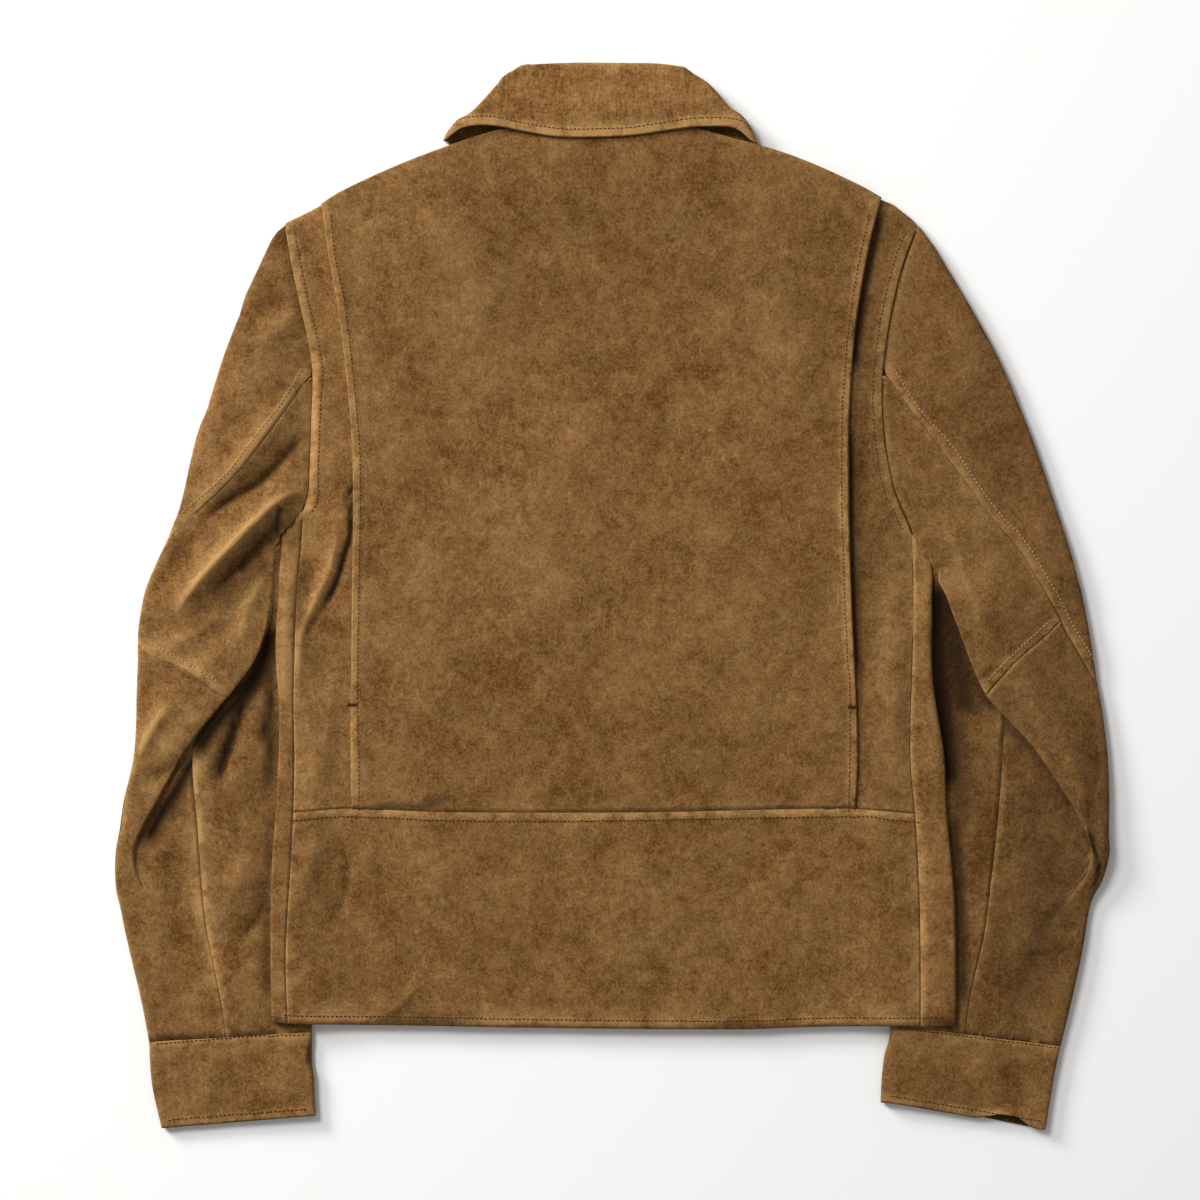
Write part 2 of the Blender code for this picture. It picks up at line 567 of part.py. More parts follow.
def row_y(side, pair, w):
    """y along a row: its whole slope is on the upper layer, but near the cuff it spans both layers."""
    middle = (pair[0] + pair[1]) / 2
    outer, lap, inner = (side.sleeve[name](middle) for name in ("outer", "lap", "inner"))
    upper = mix(1.0, (outer - lap) / (outer - inner), ease((STRAIGHT_FROM - middle) / 60))
    share = np.where(w < 1, 1 - w, upper * np.clip(w - 2, 0, 1) + (1 - upper) * np.clip(w - 6, 0, 1))
    return mix(pair[0], pair[1], share)


def evenly(side, pair, w_from, w_to, count):
    """Stations along a section, closer together where it turns."""
    w = np.linspace(w_from, w_to, 241)
    x, z = sleeve_point(side, w, row_y(side, pair, w))
    moves = np.concatenate([[True], np.hypot(np.diff(x), np.diff(z)) > 1e-4])
    w, x, z = w[moves], x[moves], z[moves]
    dx, dz = np.diff(x), np.diff(z)
    angle = np.unwrap(np.arctan2(dz, dx))
    cost = np.hypot(dx, dz) / 13.0 + np.abs(np.gradient(angle)) / 0.75 + 1e-4
    total = np.concatenate([[0], np.cumsum(cost)])
    return np.interp(np.linspace(0, total[-1], count), total, w)


def sleeve_row(side, pair, w):
    """Outer and inner points of one row of a sleeve."""
    y = row_y(side, pair, w)
    x, z = sleeve_point(side, w, y)
    dx, dz = np.zeros_like(x), np.zeros_like(z)
    for near in (1e-3, 1.05):
        x1, z1 = sleeve_point(side, w + near, y)
        x0, z0 = sleeve_point(side, w - near, y)
        still = np.hypot(dx, dz) < 1e-6
        dx, dz = np.where(still, x1 - x0, dx), np.where(still, z1 - z0, dz)
    size = np.hypot(dx, dz)
    nx, nz = side.sign * dz / size, -side.sign * dx / size
    return np.stack([x, y, z], 1), np.stack([x - WALL * nx, y, z - WALL * nz], 1)


def seam_w(side, pair, line, low, high):
    """Where a seam x(y) crosses a row, between two values of w."""
    w = np.linspace(low, high, 400)
    y = row_y(side, pair, w)
    x, z = sleeve_point(side, w, y)
    gap = side.sign * (x - line(y))
    crossing = np.nonzero(gap <= 0)[0]
    return w[crossing[0]] if len(crossing) else high


def diagonal_w(side, pair):
    """The seam from the armhole to the outer fold, which then runs on round that fold."""
    if pair[1] > side.diagonal_start + 1:
        return 2.998
    return min(max(1.6, seam_w(side, pair, side.diagonal, 1.6, 2.999)), DIAGONAL_END_W)


def hidden_w(side, pair):
    return 4.5 + 1.4 * ease((side.armpit - 30 - pair[1]) / (side.armpit + 40))


def forearm_w(side, pair):
    """The forearm seam: hidden inside the overlap at first, then on the lower layer."""
    if pair[1] > side.forearm_seam_start:
        return hidden_w(side, pair)
    return min(max(6.04, seam_w(side, pair, side.forearm_seam, 6.0, 6.98)), 6.96)


def cap_rows(side):
    """Rows above the armpit: their inner ends are the armhole's stations."""
    rows = []
    for x, y in side.armhole[1:]:
        share = ease((y - side.armpit) / (264 - side.armpit))
        rows.append((mix(side.rows[0][0] + (y - side.armpit) * 0.94, y + TIP_RISE, share), y))
    return rows[::-1]


def build_sleeve(side):
    cap = cap_rows(side)
    rows = cap + side.rows
    above = len(cap)
    elbow = above + side.elbow_row

    def grid(picked, ranges, counts):
        outer, inner = [], []
        for pair in picked:
            w = []
            for (a, b), n in zip(ranges(pair), counts):
                part = evenly(side, pair, a, b, n)
                w.extend(part if not w else part[1:])
            o, i = sleeve_row(side, pair, np.array(w))
            if pair == side.rows[0]:
                lap = side.sleeve["lap"](pair[1])
                next_x, next_y = side.armhole[1]
                past = np.abs((o[:, 0] - lap) / (next_x - lap)) * (np.array(w) > 3)
                reach = ARMPIT_REACH * (next_y - pair[1]) * past * (1 - ease((np.array(w) - 7) / 0.5))
                o[:, 1] += reach
                i[:, 1] += reach
            outer.append(o)
            inner.append(i)
        return np.array(outer), np.array(inner)

    # top sleeve: the whole underside, round the outer fold, up to the diagonal seam
    outer, inner = grid(rows, lambda p: [(0.002, 1.0), (1.0, diagonal_w(side, p))], (3, 8))
    wall("sleeve_outer_" + side.name, outer, inner)

    # elbow panel: down to the elbow seam; below the armpit it also turns under at the overlap
    first = next(k for k, p in enumerate(cap) if diagonal_w(side, p) < 2.99)
    top = tuple(mix(a, b, ELBOW_DROP) for a, b in zip(rows[first], rows[first + 1]))
    picked = [top] + rows[first + 1:elbow + 1]
    flat = 9

    def elbow_ranges(pair):
        start = diagonal_w(side, pair)
        if pair == top:
            start = mix(diagonal_w(side, rows[first]), diagonal_w(side, rows[first + 1]), ELBOW_DROP)
        start += SEAM_GAP_W * (1 - ease((start - 2.1) / 0.1))
        if pair in cap or pair == top:
            return [(start, 2.998), (2.998, 2.999)]
        return [(start, 3.0), (3.0, hidden_w(side, pair) - HIDDEN_GAP_W)]
    outer, inner = grid(picked, elbow_ranges, (flat, 7))
    cells = np.ones((len(picked) - 1, outer.shape[1] - 1), bool)
    cells[:above - first, flat - 1:] = False
    wall("sleeve_elbow_" + side.name, outer, inner, cells)

    # forearm panel: from the elbow seam to the cuff, through the overlap, up to the forearm seam
    outer, inner = grid(rows[elbow:], lambda p: [(diagonal_w(side, p), 3.0), (3.0, forearm_w(side, p))],
                        (7, 11))
    wall("sleeve_forearm_" + side.name, outer, inner)

    # undersleeve: from the forearm seam round the inner fold to the seam underneath
    def inner_ranges(pair):
        start = forearm_w(side, pair)
        return [(start + (HIDDEN_GAP_W if start < 6 else 0), 7.0), (7.0, 8.998)]
    outer, inner = grid(rows[above:], inner_ranges, (6, 6))
    wall("sleeve_inner_" + side.name, outer, inner)


def build_cuff(side):
    """A closed band, pressed flat."""
    outer, inner = [], []
    for pair in side.cuff_rows:
        pair = (pair[0] - 0.4, pair[1] - 0.4) if pair == side.cuff_rows[0] else pair
        w = np.concatenate([evenly(side, pair, 0.0, 2.0, 11), evenly(side, pair, 2.0, 9.0, 15)[1:-1]])
        o, i = sleeve_row(side, pair, w)
        outer.append(o)
        inner.append(i)
    wall("cuff_" + side.name, np.array(outer), np.array(inner), closed=True)


# ---- collar ----

def fall_top(x, y):
    """Upper side of the collar's fall: it stands off the shoulders at both ends."""
    middle = centre_back_top(x, np.minimum(y, 336.0))
    reach = ease((y - collar_edge_y(x)) / 40)
    ends = ease((np.abs(x + 8) - 45) / 45)
    return middle + WALL + 0.9 + 2.4 * (1 - reach) * ends + 2.6 * np.sin(math.pi * np.clip(reach, 0, 1)) ** 2


def build_collar_fall():
    """The fall lies on the back, turns over at the neck's sides and ends in two leaves underneath."""
    turn = np.linspace(math.pi / 2, -math.pi / 2, 6)[1:-1]
    across = spread(15, 0.2)
    leaf = np.array([0, 0.25, 0.6, 1.0])
    upper_rows = spread(6, 0.2)
    roll = np.array([-60, -15, 35]) * math.pi / 180
    lower_rows = 4
    side_cols = len(turn) + len(leaf)
    cols = 2 * side_cols + len(across)
    rows = len(roll) + len(upper_rows) + lower_rows
    outer = np.zeros((rows, cols, 3))
    inner = np.zeros((rows, cols, 3))
    used = np.zeros((rows, cols), bool)
    first = len(roll)
    for k, share in enumerate(upper_rows):
        r = first + k
        left, right = COLLAR_SIDES[-1](share), COLLAR_SIDES[1](share)
        x = mix(left[0], right[0], across)
        y = mix(collar_top_y(x) - COLLAR_ROLL, collar_edge_y(x), share)
        y = y + (left[2] - y[0]) * ease(1 - (x - x[0]) / COLLAR_BLEND)
        y = y + (right[2] - y[-1]) * ease(1 - (x[-1] - x) / COLLAR_BLEND)
        z = fall_top(x, y)
        outer[r, side_cols:-side_cols] = np.stack([x, y, z], 1)
        inner[r, side_cols:-side_cols] = np.stack([x, y, z - WALL], 1)
        used[r] = True
        for s, point in ((-1, left), (1, right)):
            edge = 0 if s < 0 else len(across) - 1
            top = z[edge]
            radius = top / 2
            ax = x[edge] + s * min(radius, 4.0) * np.cos(turn)
            az = radius * (1 + np.sin(turn))
            nx, nz = s * np.cos(turn), np.sin(turn)
            lx = mix(x[edge], point[1], leaf)
            px = np.concatenate([ax, lx])
            pz = np.concatenate([az, 0 * lx])
            px_in = np.concatenate([ax - WALL * nx, lx])
            pz_in = np.concatenate([az - WALL * nz, 0 * lx + WALL])
            py = np.full(len(px), y[edge])
            target = slice(side_cols - 1, None, -1) if s < 0 else slice(cols - side_cols, cols)
            outer[r, target] = np.stack([px, py, pz], 1)
            inner[r, target] = np.stack([px_in, py, pz_in], 1)
    for k, angle in enumerate(roll):
        x = outer[first, side_cols:-side_cols, 0]
        y = outer[first, side_cols:-side_cols, 1]
        top = outer[first, side_cols:-side_cols, 2]
        for grid, radius in ((outer, COLLAR_ROLL), (inner, COLLAR_ROLL - WALL)):
            row = np.stack([x, y + radius * math.cos(angle), top - COLLAR_ROLL + radius * math.sin(angle)], 1)
            grid[k, side_cols:-side_cols] = row
        used[k, side_cols:-side_cols] = True
    for k in range(1, lower_rows + 1):
        r = first + len(upper_rows) - 1 + k
        for s in (-1, 1):
            start = outer[first + len(upper_rows) - 1]
            target = slice(len(leaf) - 1, None, -1) if s < 0 else slice(cols - len(leaf), cols)
            top = start[target]
            tip = COLLAR_TIPS[s]
            end = mix(np.array(tip[0]), np.array(tip[1]), leaf[:, None])
            share = k / lower_rows
            bow = np.array([s * 7.0, 0.0]) * (1 - leaf[:, None]) * math.sin(math.pi * share)
            xy = mix(top[:, :2], end, share) + bow
            outer[r, target] = np.column_stack([xy, np.zeros(len(leaf))])
            inner[r, target] = np.column_stack([xy, np.full(len(leaf), WALL)])
            used[r, target] = True
    cells = used[:-1, :-1] & used[1:, :-1] & used[:-1, 1:] & used[1:, 1:]
    wall("collar_fall", outer, inner, cells)


def build_placket():
    """A band along the closed front edges, on the inside."""
    x, y = grid_between(lambda y: -30.0 + 0 * y, lambda y: 6.0 + 0 * y, hem_y, lambda x: 250.0 + 0 * x,
                        np.linspace(0, 1, 3), np.linspace(0, 1, 18))
    y = np.minimum(y, 250.0)
    sheet("placket", x, y, front_under(x, y) + 2 * WALL + 0.3 + 0.6 * ease((y - 175) / 12))


def build_collar_stand():
    """From the back's neck seam up to the roll, under the fall."""
    across = spread(15, 0.2)
    along = np.linspace(0, 1, 5)
    x = mix(-58.0, 26.0, across)[None, :] + np.zeros((len(along), 1))
    y = mix(shoulder_y(x) + 0.3, collar_top_y(x) - COLLAR_ROLL - 0.3, along[:, None])
    seat = centre_back_top(x, shoulder_y(x))
    roll = fall_top(x, collar_top_y(x) - COLLAR_ROLL) - 2 * COLLAR_ROLL + WALL
    sheet("collar_stand", x, y, mix(seat, roll, ease(along[:, None])))


def main():
    for old in list(bpy.data.objects):
        bpy.data.objects.remove(old)
    build_centre_back()
    build_waist()
    build_placket()
    for side in SIDES:
        build_side_back(side)
        build_front(side)
        build_sleeve(side)
        build_cuff(side)
    build_collar_fall()
    build_collar_stand()


main()
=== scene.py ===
import math

import bpy
import bmesh
import numpy as np
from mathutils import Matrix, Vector, kdtree
from mathutils.bvhtree import BVHTree


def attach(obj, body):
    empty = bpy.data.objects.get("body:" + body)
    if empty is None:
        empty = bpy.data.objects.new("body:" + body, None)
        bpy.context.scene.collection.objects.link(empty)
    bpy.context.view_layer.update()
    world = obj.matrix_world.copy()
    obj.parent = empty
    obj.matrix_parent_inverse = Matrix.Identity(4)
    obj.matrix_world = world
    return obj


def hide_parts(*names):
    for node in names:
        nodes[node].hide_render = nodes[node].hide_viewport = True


# Tables are in millimetres on the laid jacket: x right, y from hem to collar, z up.
mm = 0.001
tiny = 1e-9  # added where a length of 0 would be divided by
mergeWithin = 1e-6  # metres
farOff = 50.0  # stands for every distance to an edge or a seam that no longer matters
curveSteps = 12  # points worked out between two of a table's

# bends between faces, in degrees: up to "join" two triangles become one face if its corners are square
# within "skew", from "crease" an edge stays a corner when the piece is rounded, from "edge" it is an edge of
# the cloth that can be sewn, and from "sharp" it is shaded as one
bends = {"join": 38, "skew": 80, "crease": 52, "edge": 40, "sharp": 50}

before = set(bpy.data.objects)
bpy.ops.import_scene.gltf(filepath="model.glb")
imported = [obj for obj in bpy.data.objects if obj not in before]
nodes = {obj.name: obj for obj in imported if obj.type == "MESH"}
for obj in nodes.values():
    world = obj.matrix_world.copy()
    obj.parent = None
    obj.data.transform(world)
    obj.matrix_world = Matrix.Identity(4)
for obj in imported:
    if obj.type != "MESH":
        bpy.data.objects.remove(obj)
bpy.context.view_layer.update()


def ease(t):
    t = np.clip(t, 0.0, 1.0)
    return t * t * (3 - 2 * t)


def lengthsAlong(points):
    # how far along the line each of its points is
    return np.concatenate([[0], np.cumsum(np.linalg.norm(np.diff(points, axis=0), axis=1))])


def alongLine(points, step):
    # evenly spaced points on a smooth line through the table's points
    p = np.array(points, float)
    if len(p) > 2:
        fine = []
        padded = np.vstack([2 * p[0] - p[1], p, 2 * p[-1] - p[-2]])
        for k in range(1, len(padded) - 2):
            a, b, c, d = padded[k - 1:k + 3]
            for t in np.linspace(0, 1, curveSteps, endpoint=False):
                fine.append(0.5 * (2 * b + (c - a) * t + (2 * a - 5 * b + 4 * c - d) * t * t
                                   + (3 * b - 3 * c + d - a) * t ** 3))
        p = np.array(fine + [p[-1]])
    length = lengthsAlong(p)
    count = max(2, int(round(length[-1] / step)) + 1)
    at = np.linspace(0, length[-1], count)
    return np.stack([np.interp(at, length, p[:, k]) for k in (0, 1)], 1)


def toLine(x, y, line):
    # distance to a line and the share of its length at the nearest point
    best = np.full(x.shape, np.inf)
    share = np.zeros(x.shape)
    start = lengthsAlong(line)
    for k in range(len(line) - 1):
        a, d = line[k], line[k + 1] - line[k]
        t = np.clip(((x - a[0]) * d[0] + (y - a[1]) * d[1]) / (np.dot(d, d) + tiny), 0, 1)
        dist = np.hypot(x - a[0] - t * d[0], y - a[1] - t * d[1])
        near = dist < best
        best = np.where(near, dist, best)
        share = np.where(near, (start[k] + t * (start[k + 1] - start[k])) / start[-1], share)
    return best, share


def bellOf(dist, width):
    # 1 on the line, falling off to 0 within a few widths
    return np.exp(-(dist / width) ** 2)


def betweenEnds(share, fade):
    # 1 along a line, falling to 0 over a share of its length at each end
    return ease(share / fade) * ease((1 - share) / fade)


# folds: line, height (negative for a valley), half width, how sharp the crest is from 0 to 1
folds = [
    # left sleeve, above and on the elbow
    ([(-221, 124), (-243, 98), (-258, 83), (-280, 70), (-304, 50)], -4.2, 5.5, 0.8),
    ([(-219, 81), (-236, 74), (-248, 66), (-260, 54), (-274, 40), (-300, 12), (-322, -16)], 6.6, 6.6, 0.85),
    ([(-242, 60), (-250, 47), (-260, 34), (-273, 20), (-294, 2)], -4.2, 5.0, 0.7),
    ([(-250, 20), (-264, -4), (-272, -36)], 2.4, 7, 0.5),
    ([(-226, 150), (-258, 116), (-290, 82), (-306, 62)], 1.9, 10, 0.4),
    ([(-300, 48), (-318, 24), (-336, 2)], -2.6, 9, 0.3),
    ([(-276, -6), (-304, -26), (-336, -40)], 2.2, 9, 0.4),
    ([(-230, 210), (-248, 192), (-262, 182)], 2.0, 7, 0.5),
    ([(-232, 224), (-252, 206), (-270, 186)], -1.8, 8, 0.2),
    ([(-262, 150), (-276, 120), (-292, 96)], -1.2, 12, 0.1),
    # left sleeve, below the elbow
    ([(-322, -76), (-336, -98), (-346, -120)], 3.6, 6, 0.8),
    ([(-318, -116), (-332, -126), (-346, -138)], -2.8, 4.5, 0.7),
    ([(-300, -78), (-318, -100), (-332, -128)], 1.8, 8, 0.4),
    ([(-254, -40), (-272, -90), (-290, -146)], -3.6, 5, 0.9),
    ([(-266, -60), (-286, -100), (-304, -140)], 2.2, 7, 0.4),
    ([(-246, -70), (-251, -90), (-256, -108)], -2.6, 4.5, 0.8),
    ([(-254, -196), (-254, -222), (-264, -240), (-276, -252)], -2.8, 5, 0.8),
    ([(-262, -180), (-276, -214), (-288, -244)], 1.8, 8, 0.3),
    ([(-306, -160), (-300, -206), (-294, -256)], 1.7, 9, 0.2),
    ([(-322, -170), (-316, -220), (-310, -270)], -1.4, 9, 0.1),
    ([(-340, -200), (-332, -250), (-326, -296)], 1.1, 10, 0.1),
    ([(-262, -262), (-260, -290), (-258, -314)], 1.4, 8, 0.3),
    # left body side
    ([(-190, 92), (-190, 47), (-194, 32), (-201, 9), (-211, -8), (-222, -26), (-227, -46)], -1.8, 3.2, 0.9),
    ([(-199, 60), (-205, 24), (-215, 0), (-226, -28), (-229, -74)], 2.6, 5.5, 0.75),
    ([(-216, 30), (-223, -4), (-227, -36)], -1.2, 6, 0.4),
    ([(-232, 40), (-236, 0), (-238, -50), (-236, -90)], 2.0, 6, 0.4),
    ([(-200, -40), (-206, -90), (-212, -140)], 1.3, 8, 0.2),
    ([(-201, -168), (-193, -200), (-197, -224), (-213, -243)], -1.6, 5, 0.5),
    ([(-212, -164), (-222, -200), (-232, -236)], 1.6, 8, 0.3),
    ([(-214, 160), (-208, 110), (-210, 66)], 1.1, 6, 0.2),
    ([(-203, 270), (-200, 220), (-206, 180)], 0.9, 7, 0.1),
    # fine creases of the back
    ([(22, 104), (21, 40), (22, -34)], -0.35, 1.8, 0.3),
    ([(29, 158), (37, 130), (44, 104)], -0.7, 1.7, 0.3),
    ([(-142, -70), (-150, -100), (-160, -132)], 0.6, 4, 0.3),
    ([(110, -80), (106, -100), (100, -124)], -0.6, 3, 0.3),
    # wide, low folds of the back
    ([(-150, 300), (-120, 250), (-96, 190), (-92, 120)], 1.4, 26, 0.0),
    ([(92, 305), (112, 250), (128, 180), (132, 110)], 1.2, 24, 0.0),
    ([(-20, 160), (-44, 60), (-58, -60)], 1.2, 34, 0.0),
    ([(66, 130), (84, 30), (88, -80)], 1.1, 30, 0.0),
    ([(-140, 60), (-132, -20), (-140, -120)], 1.0, 26, 0.0),
    ([(-172, -70), (-150, -78), (-120, -90)], 0.8, 9, 0.1),
    ([(160, -70), (140, -84), (112, -100)], 0.8, 10, 0.1),
    ([(20, -170), (4, -230), (10, -300)], 0.9, 24, 0.0),
    ([(-120, -176), (-130, -230), (-118, -296)], 0.8, 20, 0.0),
    ([(130, -176), (122, -230), (132, -296)], 0.8, 22, 0.0),
    # right body side
    ([(206, 30), (203, -40), (200, -120)], 1.3, 9, 0.1),
    ([(186, 150), (184, 90), (188, 20)], -0.9, 6, 0.2),
    ([(226, 20), (228, -30), (234, -90), (238, -150)], 1.6, 6, 0.3),
    # right sleeve
    ([(240, 216), (258, 180), (264, 140)], 1.5, 14, 0.1),
    ([(252, 96), (272, 40), (300, -20)], 1.6, 15, 0.1),
    ([(300, 66), (320, 26), (334, -14)], 1.4, 13, 0.1),
    ([(236, 66), (252, 30), (266, -10), (276, -44)], 1.7, 6, 0.6),
    ([(322, -96), (336, -126), (346, -160)], 1.8, 10, 0.3),
    ([(306, -140), (318, -180), (322, -226)], -1.5, 10, 0.2),
    ([(290, -190), (300, -240), (296, -290)], 1.4, 12, 0.1),
    ([(270, -110), (276, -160), (274, -220)], -1.2, 12, 0.1),
    # cuffs
    ([(-300, -336), (-292, -356), (-296, -380)], 1.0, 12, 0.1),
    ([(-250, -332), (-244, -350), (-248, -372)], 0.9, 11, 0.1),
    ([(286, -340), (296, -356), (304, -378)], -1.5, 7, 0.4),
    ([(262, -332), (272, -350), (286, -372)], 1.3, 10, 0.2),
    ([(222, -328), (228, -346), (224, -364)], 0.9, 10, 0.1),
]

# how folds are formed: step of their lines, share of the length over which each end fades, and for a sharp
# crest how fast its flanks fall, how tight its top is and how far out that rounding starts
foldForm = {"step": 6.0, "fade": 0.25, "flank": 1.6, "top": 9, "topOut": 0.12}
foldLines = [(alongLine(points, foldForm["step"]), height, width, crest)
             for points, height, width, crest in folds]


def foldHeight(x, y):
    total = np.zeros(x.shape)
    for line, height, width, crest in foldLines:
        dist, share = toLine(x, y, line)
        q = dist / width
        soft = np.exp(-q * q)
        sharp = np.exp(-foldForm["flank"] * q) * (1 - np.exp(-foldForm["top"] * (q + foldForm["topOut"])))
        profile = (1 - crest) * soft + crest * sharp
        total += height * profile * betweenEnds(share, foldForm["fade"])
    return total


# marks along the folds from this sharpness on: light ones on crests, partly wear and partly painted highlight,
# and dark ones in valleys, painted shade. For each, half width and what the fold's own adds to it, the fold's
# height that gives a full mark, and how much that is
markedFrom = 0.35
marks = {"light": {"width": 1.7, "more": 0.12, "full": 4, "much": 1.0},
         "dark": {"width": 1.3, "more": 0.14, "full": 3.5, "much": 0.8}}


def foldMarks(x, y):
    # light lines on sharp crests, partly wear and partly painted highlight, and painted shade in sharp valleys
    found = {kind: np.zeros(x.shape) for kind in marks}
    for line, height, width, crest in foldLines:
        if crest < markedFrom:
            continue
        kind = "light" if height > 0 else "dark"
        mark = marks[kind]
        dist, share = toLine(x, y, line)
        much = mark["much"] * crest * min(abs(height) / mark["full"], 1)
        shape = bellOf(dist, mark["width"] + mark["more"] * width) * betweenEnds(share, foldForm["fade"])
        found[kind] = np.maximum(found[kind], much * shape)
    return found["light"], found["dark"]


# worn places: pieces, line, half width, how much
wearPlaces = [
    (("sleeve_forearm_left", "sleeve_inner_left"),
     [(-304, -128), (-300, -180), (-295, -236), (-288, -276)], 7.5, 1.5),
    (("sleeve_outer_left",), [(-228, 158), (-258, 116), (-296, 74)], 9, 0.7),
    (("sleeve_outer_left",), [(-256, 196), (-278, 150), (-298, 110)], 14, 0.5),
    (("sleeve_elbow_left",), [(-342, -30), (-316, -44), (-290, -58)], 9, 0.6),
    (("sleeve_forearm_left",), [(-300, -84), (-322, -104), (-340, -132)], 7, 0.6),
    (("front_left",), [(-236, 56), (-238, 0), (-240, -70)], 7, 0.6),
    (("front_right", "back_waist"), [(224, -200), (224, -250), (226, -300)], 9, 0.6),
    (("front_left", "back_waist"), [(-236, -262), (-238, -290), (-238, -306)], 9, 0.6),
    (("back_side_left",), [(-216, 60), (-220, -40), (-222, -140)], 10, 0.35),
    (("back_side_right",), [(206, 40), (206, -40), (208, -140)], 10, 0.35),
    (("back_center",), [(-186, 280), (-182, 180), (-182, 60), (-182, -140)], 6, 0.35),
    (("back_waist",), [(-220, -300), (0, -306), (220, -300)], 7, 0.45),
    (("cuff_left",), [(-330, -330), (-280, -327), (-228, -324)], 6, 0.6),
    (("cuff_right",), [(212, -318), (270, -326), (322, -334)], 6, 0.6),
    (("collar_fall",), [(-100, 347), (-40, 341), (20, 341), (90, 347)], 6, 0.7),
]
wearStep = 10.0
wearLines = [(names, alongLine(points, wearStep), width, much) for names, points, width, much in wearPlaces]


def wearShade(piece, x, y):
    total = np.zeros(x.shape)
    for names, line, width, much in wearLines:
        if piece in names:
            total = np.maximum(total, much * bellOf(toLine(x, y, line)[0], width))
    return total


# slow unevenness all over: direction in degrees, wavelength, phase, height
waves = [(12, 96, 0.4, 0.16), (74, 71, 2.1, 0.13), (131, 58, 4.0, 0.11), (38, 43, 1.2, 0.09),
         (98, 33, 5.1, 0.07), (160, 27, 2.9, 0.05), (55, 19, 0.9, 0.035)]
# how the waves stray from straight, over x and over y: how far, length of a radian, phase
stray = [(9, 47, 1.3), (7, 39, 0.4)]


def unevenness(x, y):
    total = np.zeros(x.shape)
    bend = sum(reach * np.sin(c / length + phase) for c, (reach, length, phase) in zip((x, y), stray))
    for angle, length, phase, height in waves:
        a = math.radians(angle)
        along = x * math.cos(a) + y * math.sin(a) + bend
        total += height * (1 + np.sin(2 * math.pi * along / length + phase))
    return total


elbowSeamLeft = [(-344, -36), (-330, -44.5), (-316, -52), (-300, -61), (-286, -70)]
# hollows: painted shade, darkening the colour in openings between the layers, in deep creases, and faintly
# over a broad part of the upper back. Each has its piece, line, half width, how dark it is and the highest z
# that is darkened.
hollows = [
    ("sleeve_inner_right", [(237, 20), (237, -20), (238, -60), (242, -100), (247, -150)], 12, 1.0, 9),
    ("sleeve_inner_right", [(241, 16), (247, -20), (254, -60), (258, -92)], 13, 0.9, 9),
    ("sleeve_inner_right", [(248, -60), (252, -110), (256, -170)], 9, 0.5, 9),
    ("sleeve_inner_right", [(248, -150), (253, -230), (256, -300)], 5, 0.7, 9),
    ("sleeve_inner_left", [(-247, 44), (-249, 10), (-250, -20), (-250, -60), (-249, -100), (-251, -150)],
     5, 0.8, 9),
    ("sleeve_inner_left", [(-249, -150), (-252, -230), (-251, -300)], 3.5, 0.5, 9),
    ("sleeve_inner_left", [(-245, -14), (-257, -54), (-274, -76), (-292, -97), (-308, -119)], 9.5, 1.0, 9),
    ("sleeve_forearm_left",
     [(-275, -78), (-291, -99), (-307, -121), (-319, -142), (-333, -164), (-343, -184)], 8, 1.0, 7.2),
    ("sleeve_inner_left", [(-263, -62), (-270, -80), (-280, -106), (-289, -136)], 3.4, 0.95, 9),
    ("sleeve_inner_left", [(-246, -60), (-251, -86), (-257, -108)], 3.0, 0.85, 9),
    ("sleeve_inner_right", [(242, 0), (254, -40), (270, -70), (282, -86)], 4, 0.8, 9),
    ("sleeve_forearm_right", [(284, -80), (296, -98), (322, -134), (338, -160)], 4, 0.6, 6.6),
    ("sleeve_forearm_right", [(300, -120), (318, -180), (312, -240), (304, -300)], 32, 0.2, 20),
    ("sleeve_forearm_right", [(345, -166), (349, -182), (352, -198), (347, -214)], 2.0, 0.95, 20),
    ("sleeve_elbow_left", elbowSeamLeft, 1.3, 0.6, 20),
    ("sleeve_forearm_left", elbowSeamLeft, 1.1, 0.5, 20),
    ("sleeve_elbow_left", [(-243, 60), (-249, 46), (-262, 30), (-276, 16)], 4.2, 0.65, 20),
    ("sleeve_elbow_left", [(-240, 67), (-243.5, 61), (-246, 54), (-248, 46)], 2.6, 0.9, 20),
    ("sleeve_elbow_left", [(-222, 122), (-243, 97), (-259, 82), (-280, 69)], 3.0, 0.5, 20),
    ("back_side_left", [(-191, 96), (-191, 47), (-195, 32), (-202, 9), (-212, -9)], 2.6, 0.97, 20),
    ("back_center", [(-150, 250), (0, 275), (150, 250)], 62, 0.1, 20),
    ("back_side_right", [(174, 131), (174.5, 60), (176, 0), (179, -66)], 2.4, 0.78, 20),
    ("back_side_right", [(196, 288), (192.5, 265), (186, 236), (181, 208), (178, 185), (176, 160)],
     3.2, 0.95, 20),
    ("cuff_right", [(262, -377), (290, -382.5), (312, -387)], 3.0, 0.9, 3.0),
]
# step of their lines, share of the length over which each end fades, and the height over which the top does
hollowForm = {"step": 6.0, "fade": 0.12, "under": 0.8}
hollowLines = [(name, alongLine(points, hollowForm["step"]), width, depth, top)
               for name, points, width, depth, top in hollows]


def hollowShade(piece, x, y, z):
    total = np.zeros(x.shape)
    for name, line, width, depth, top in hollowLines:
        if name == piece:
            dist, share = toLine(x, y, line)
            ends = betweenEnds(share, hollowForm["fade"]) * ease((top - z) / hollowForm["under"])
            total = np.maximum(total, depth * bellOf(dist, width) * ends)
    return total


nudgeStep = 4.0


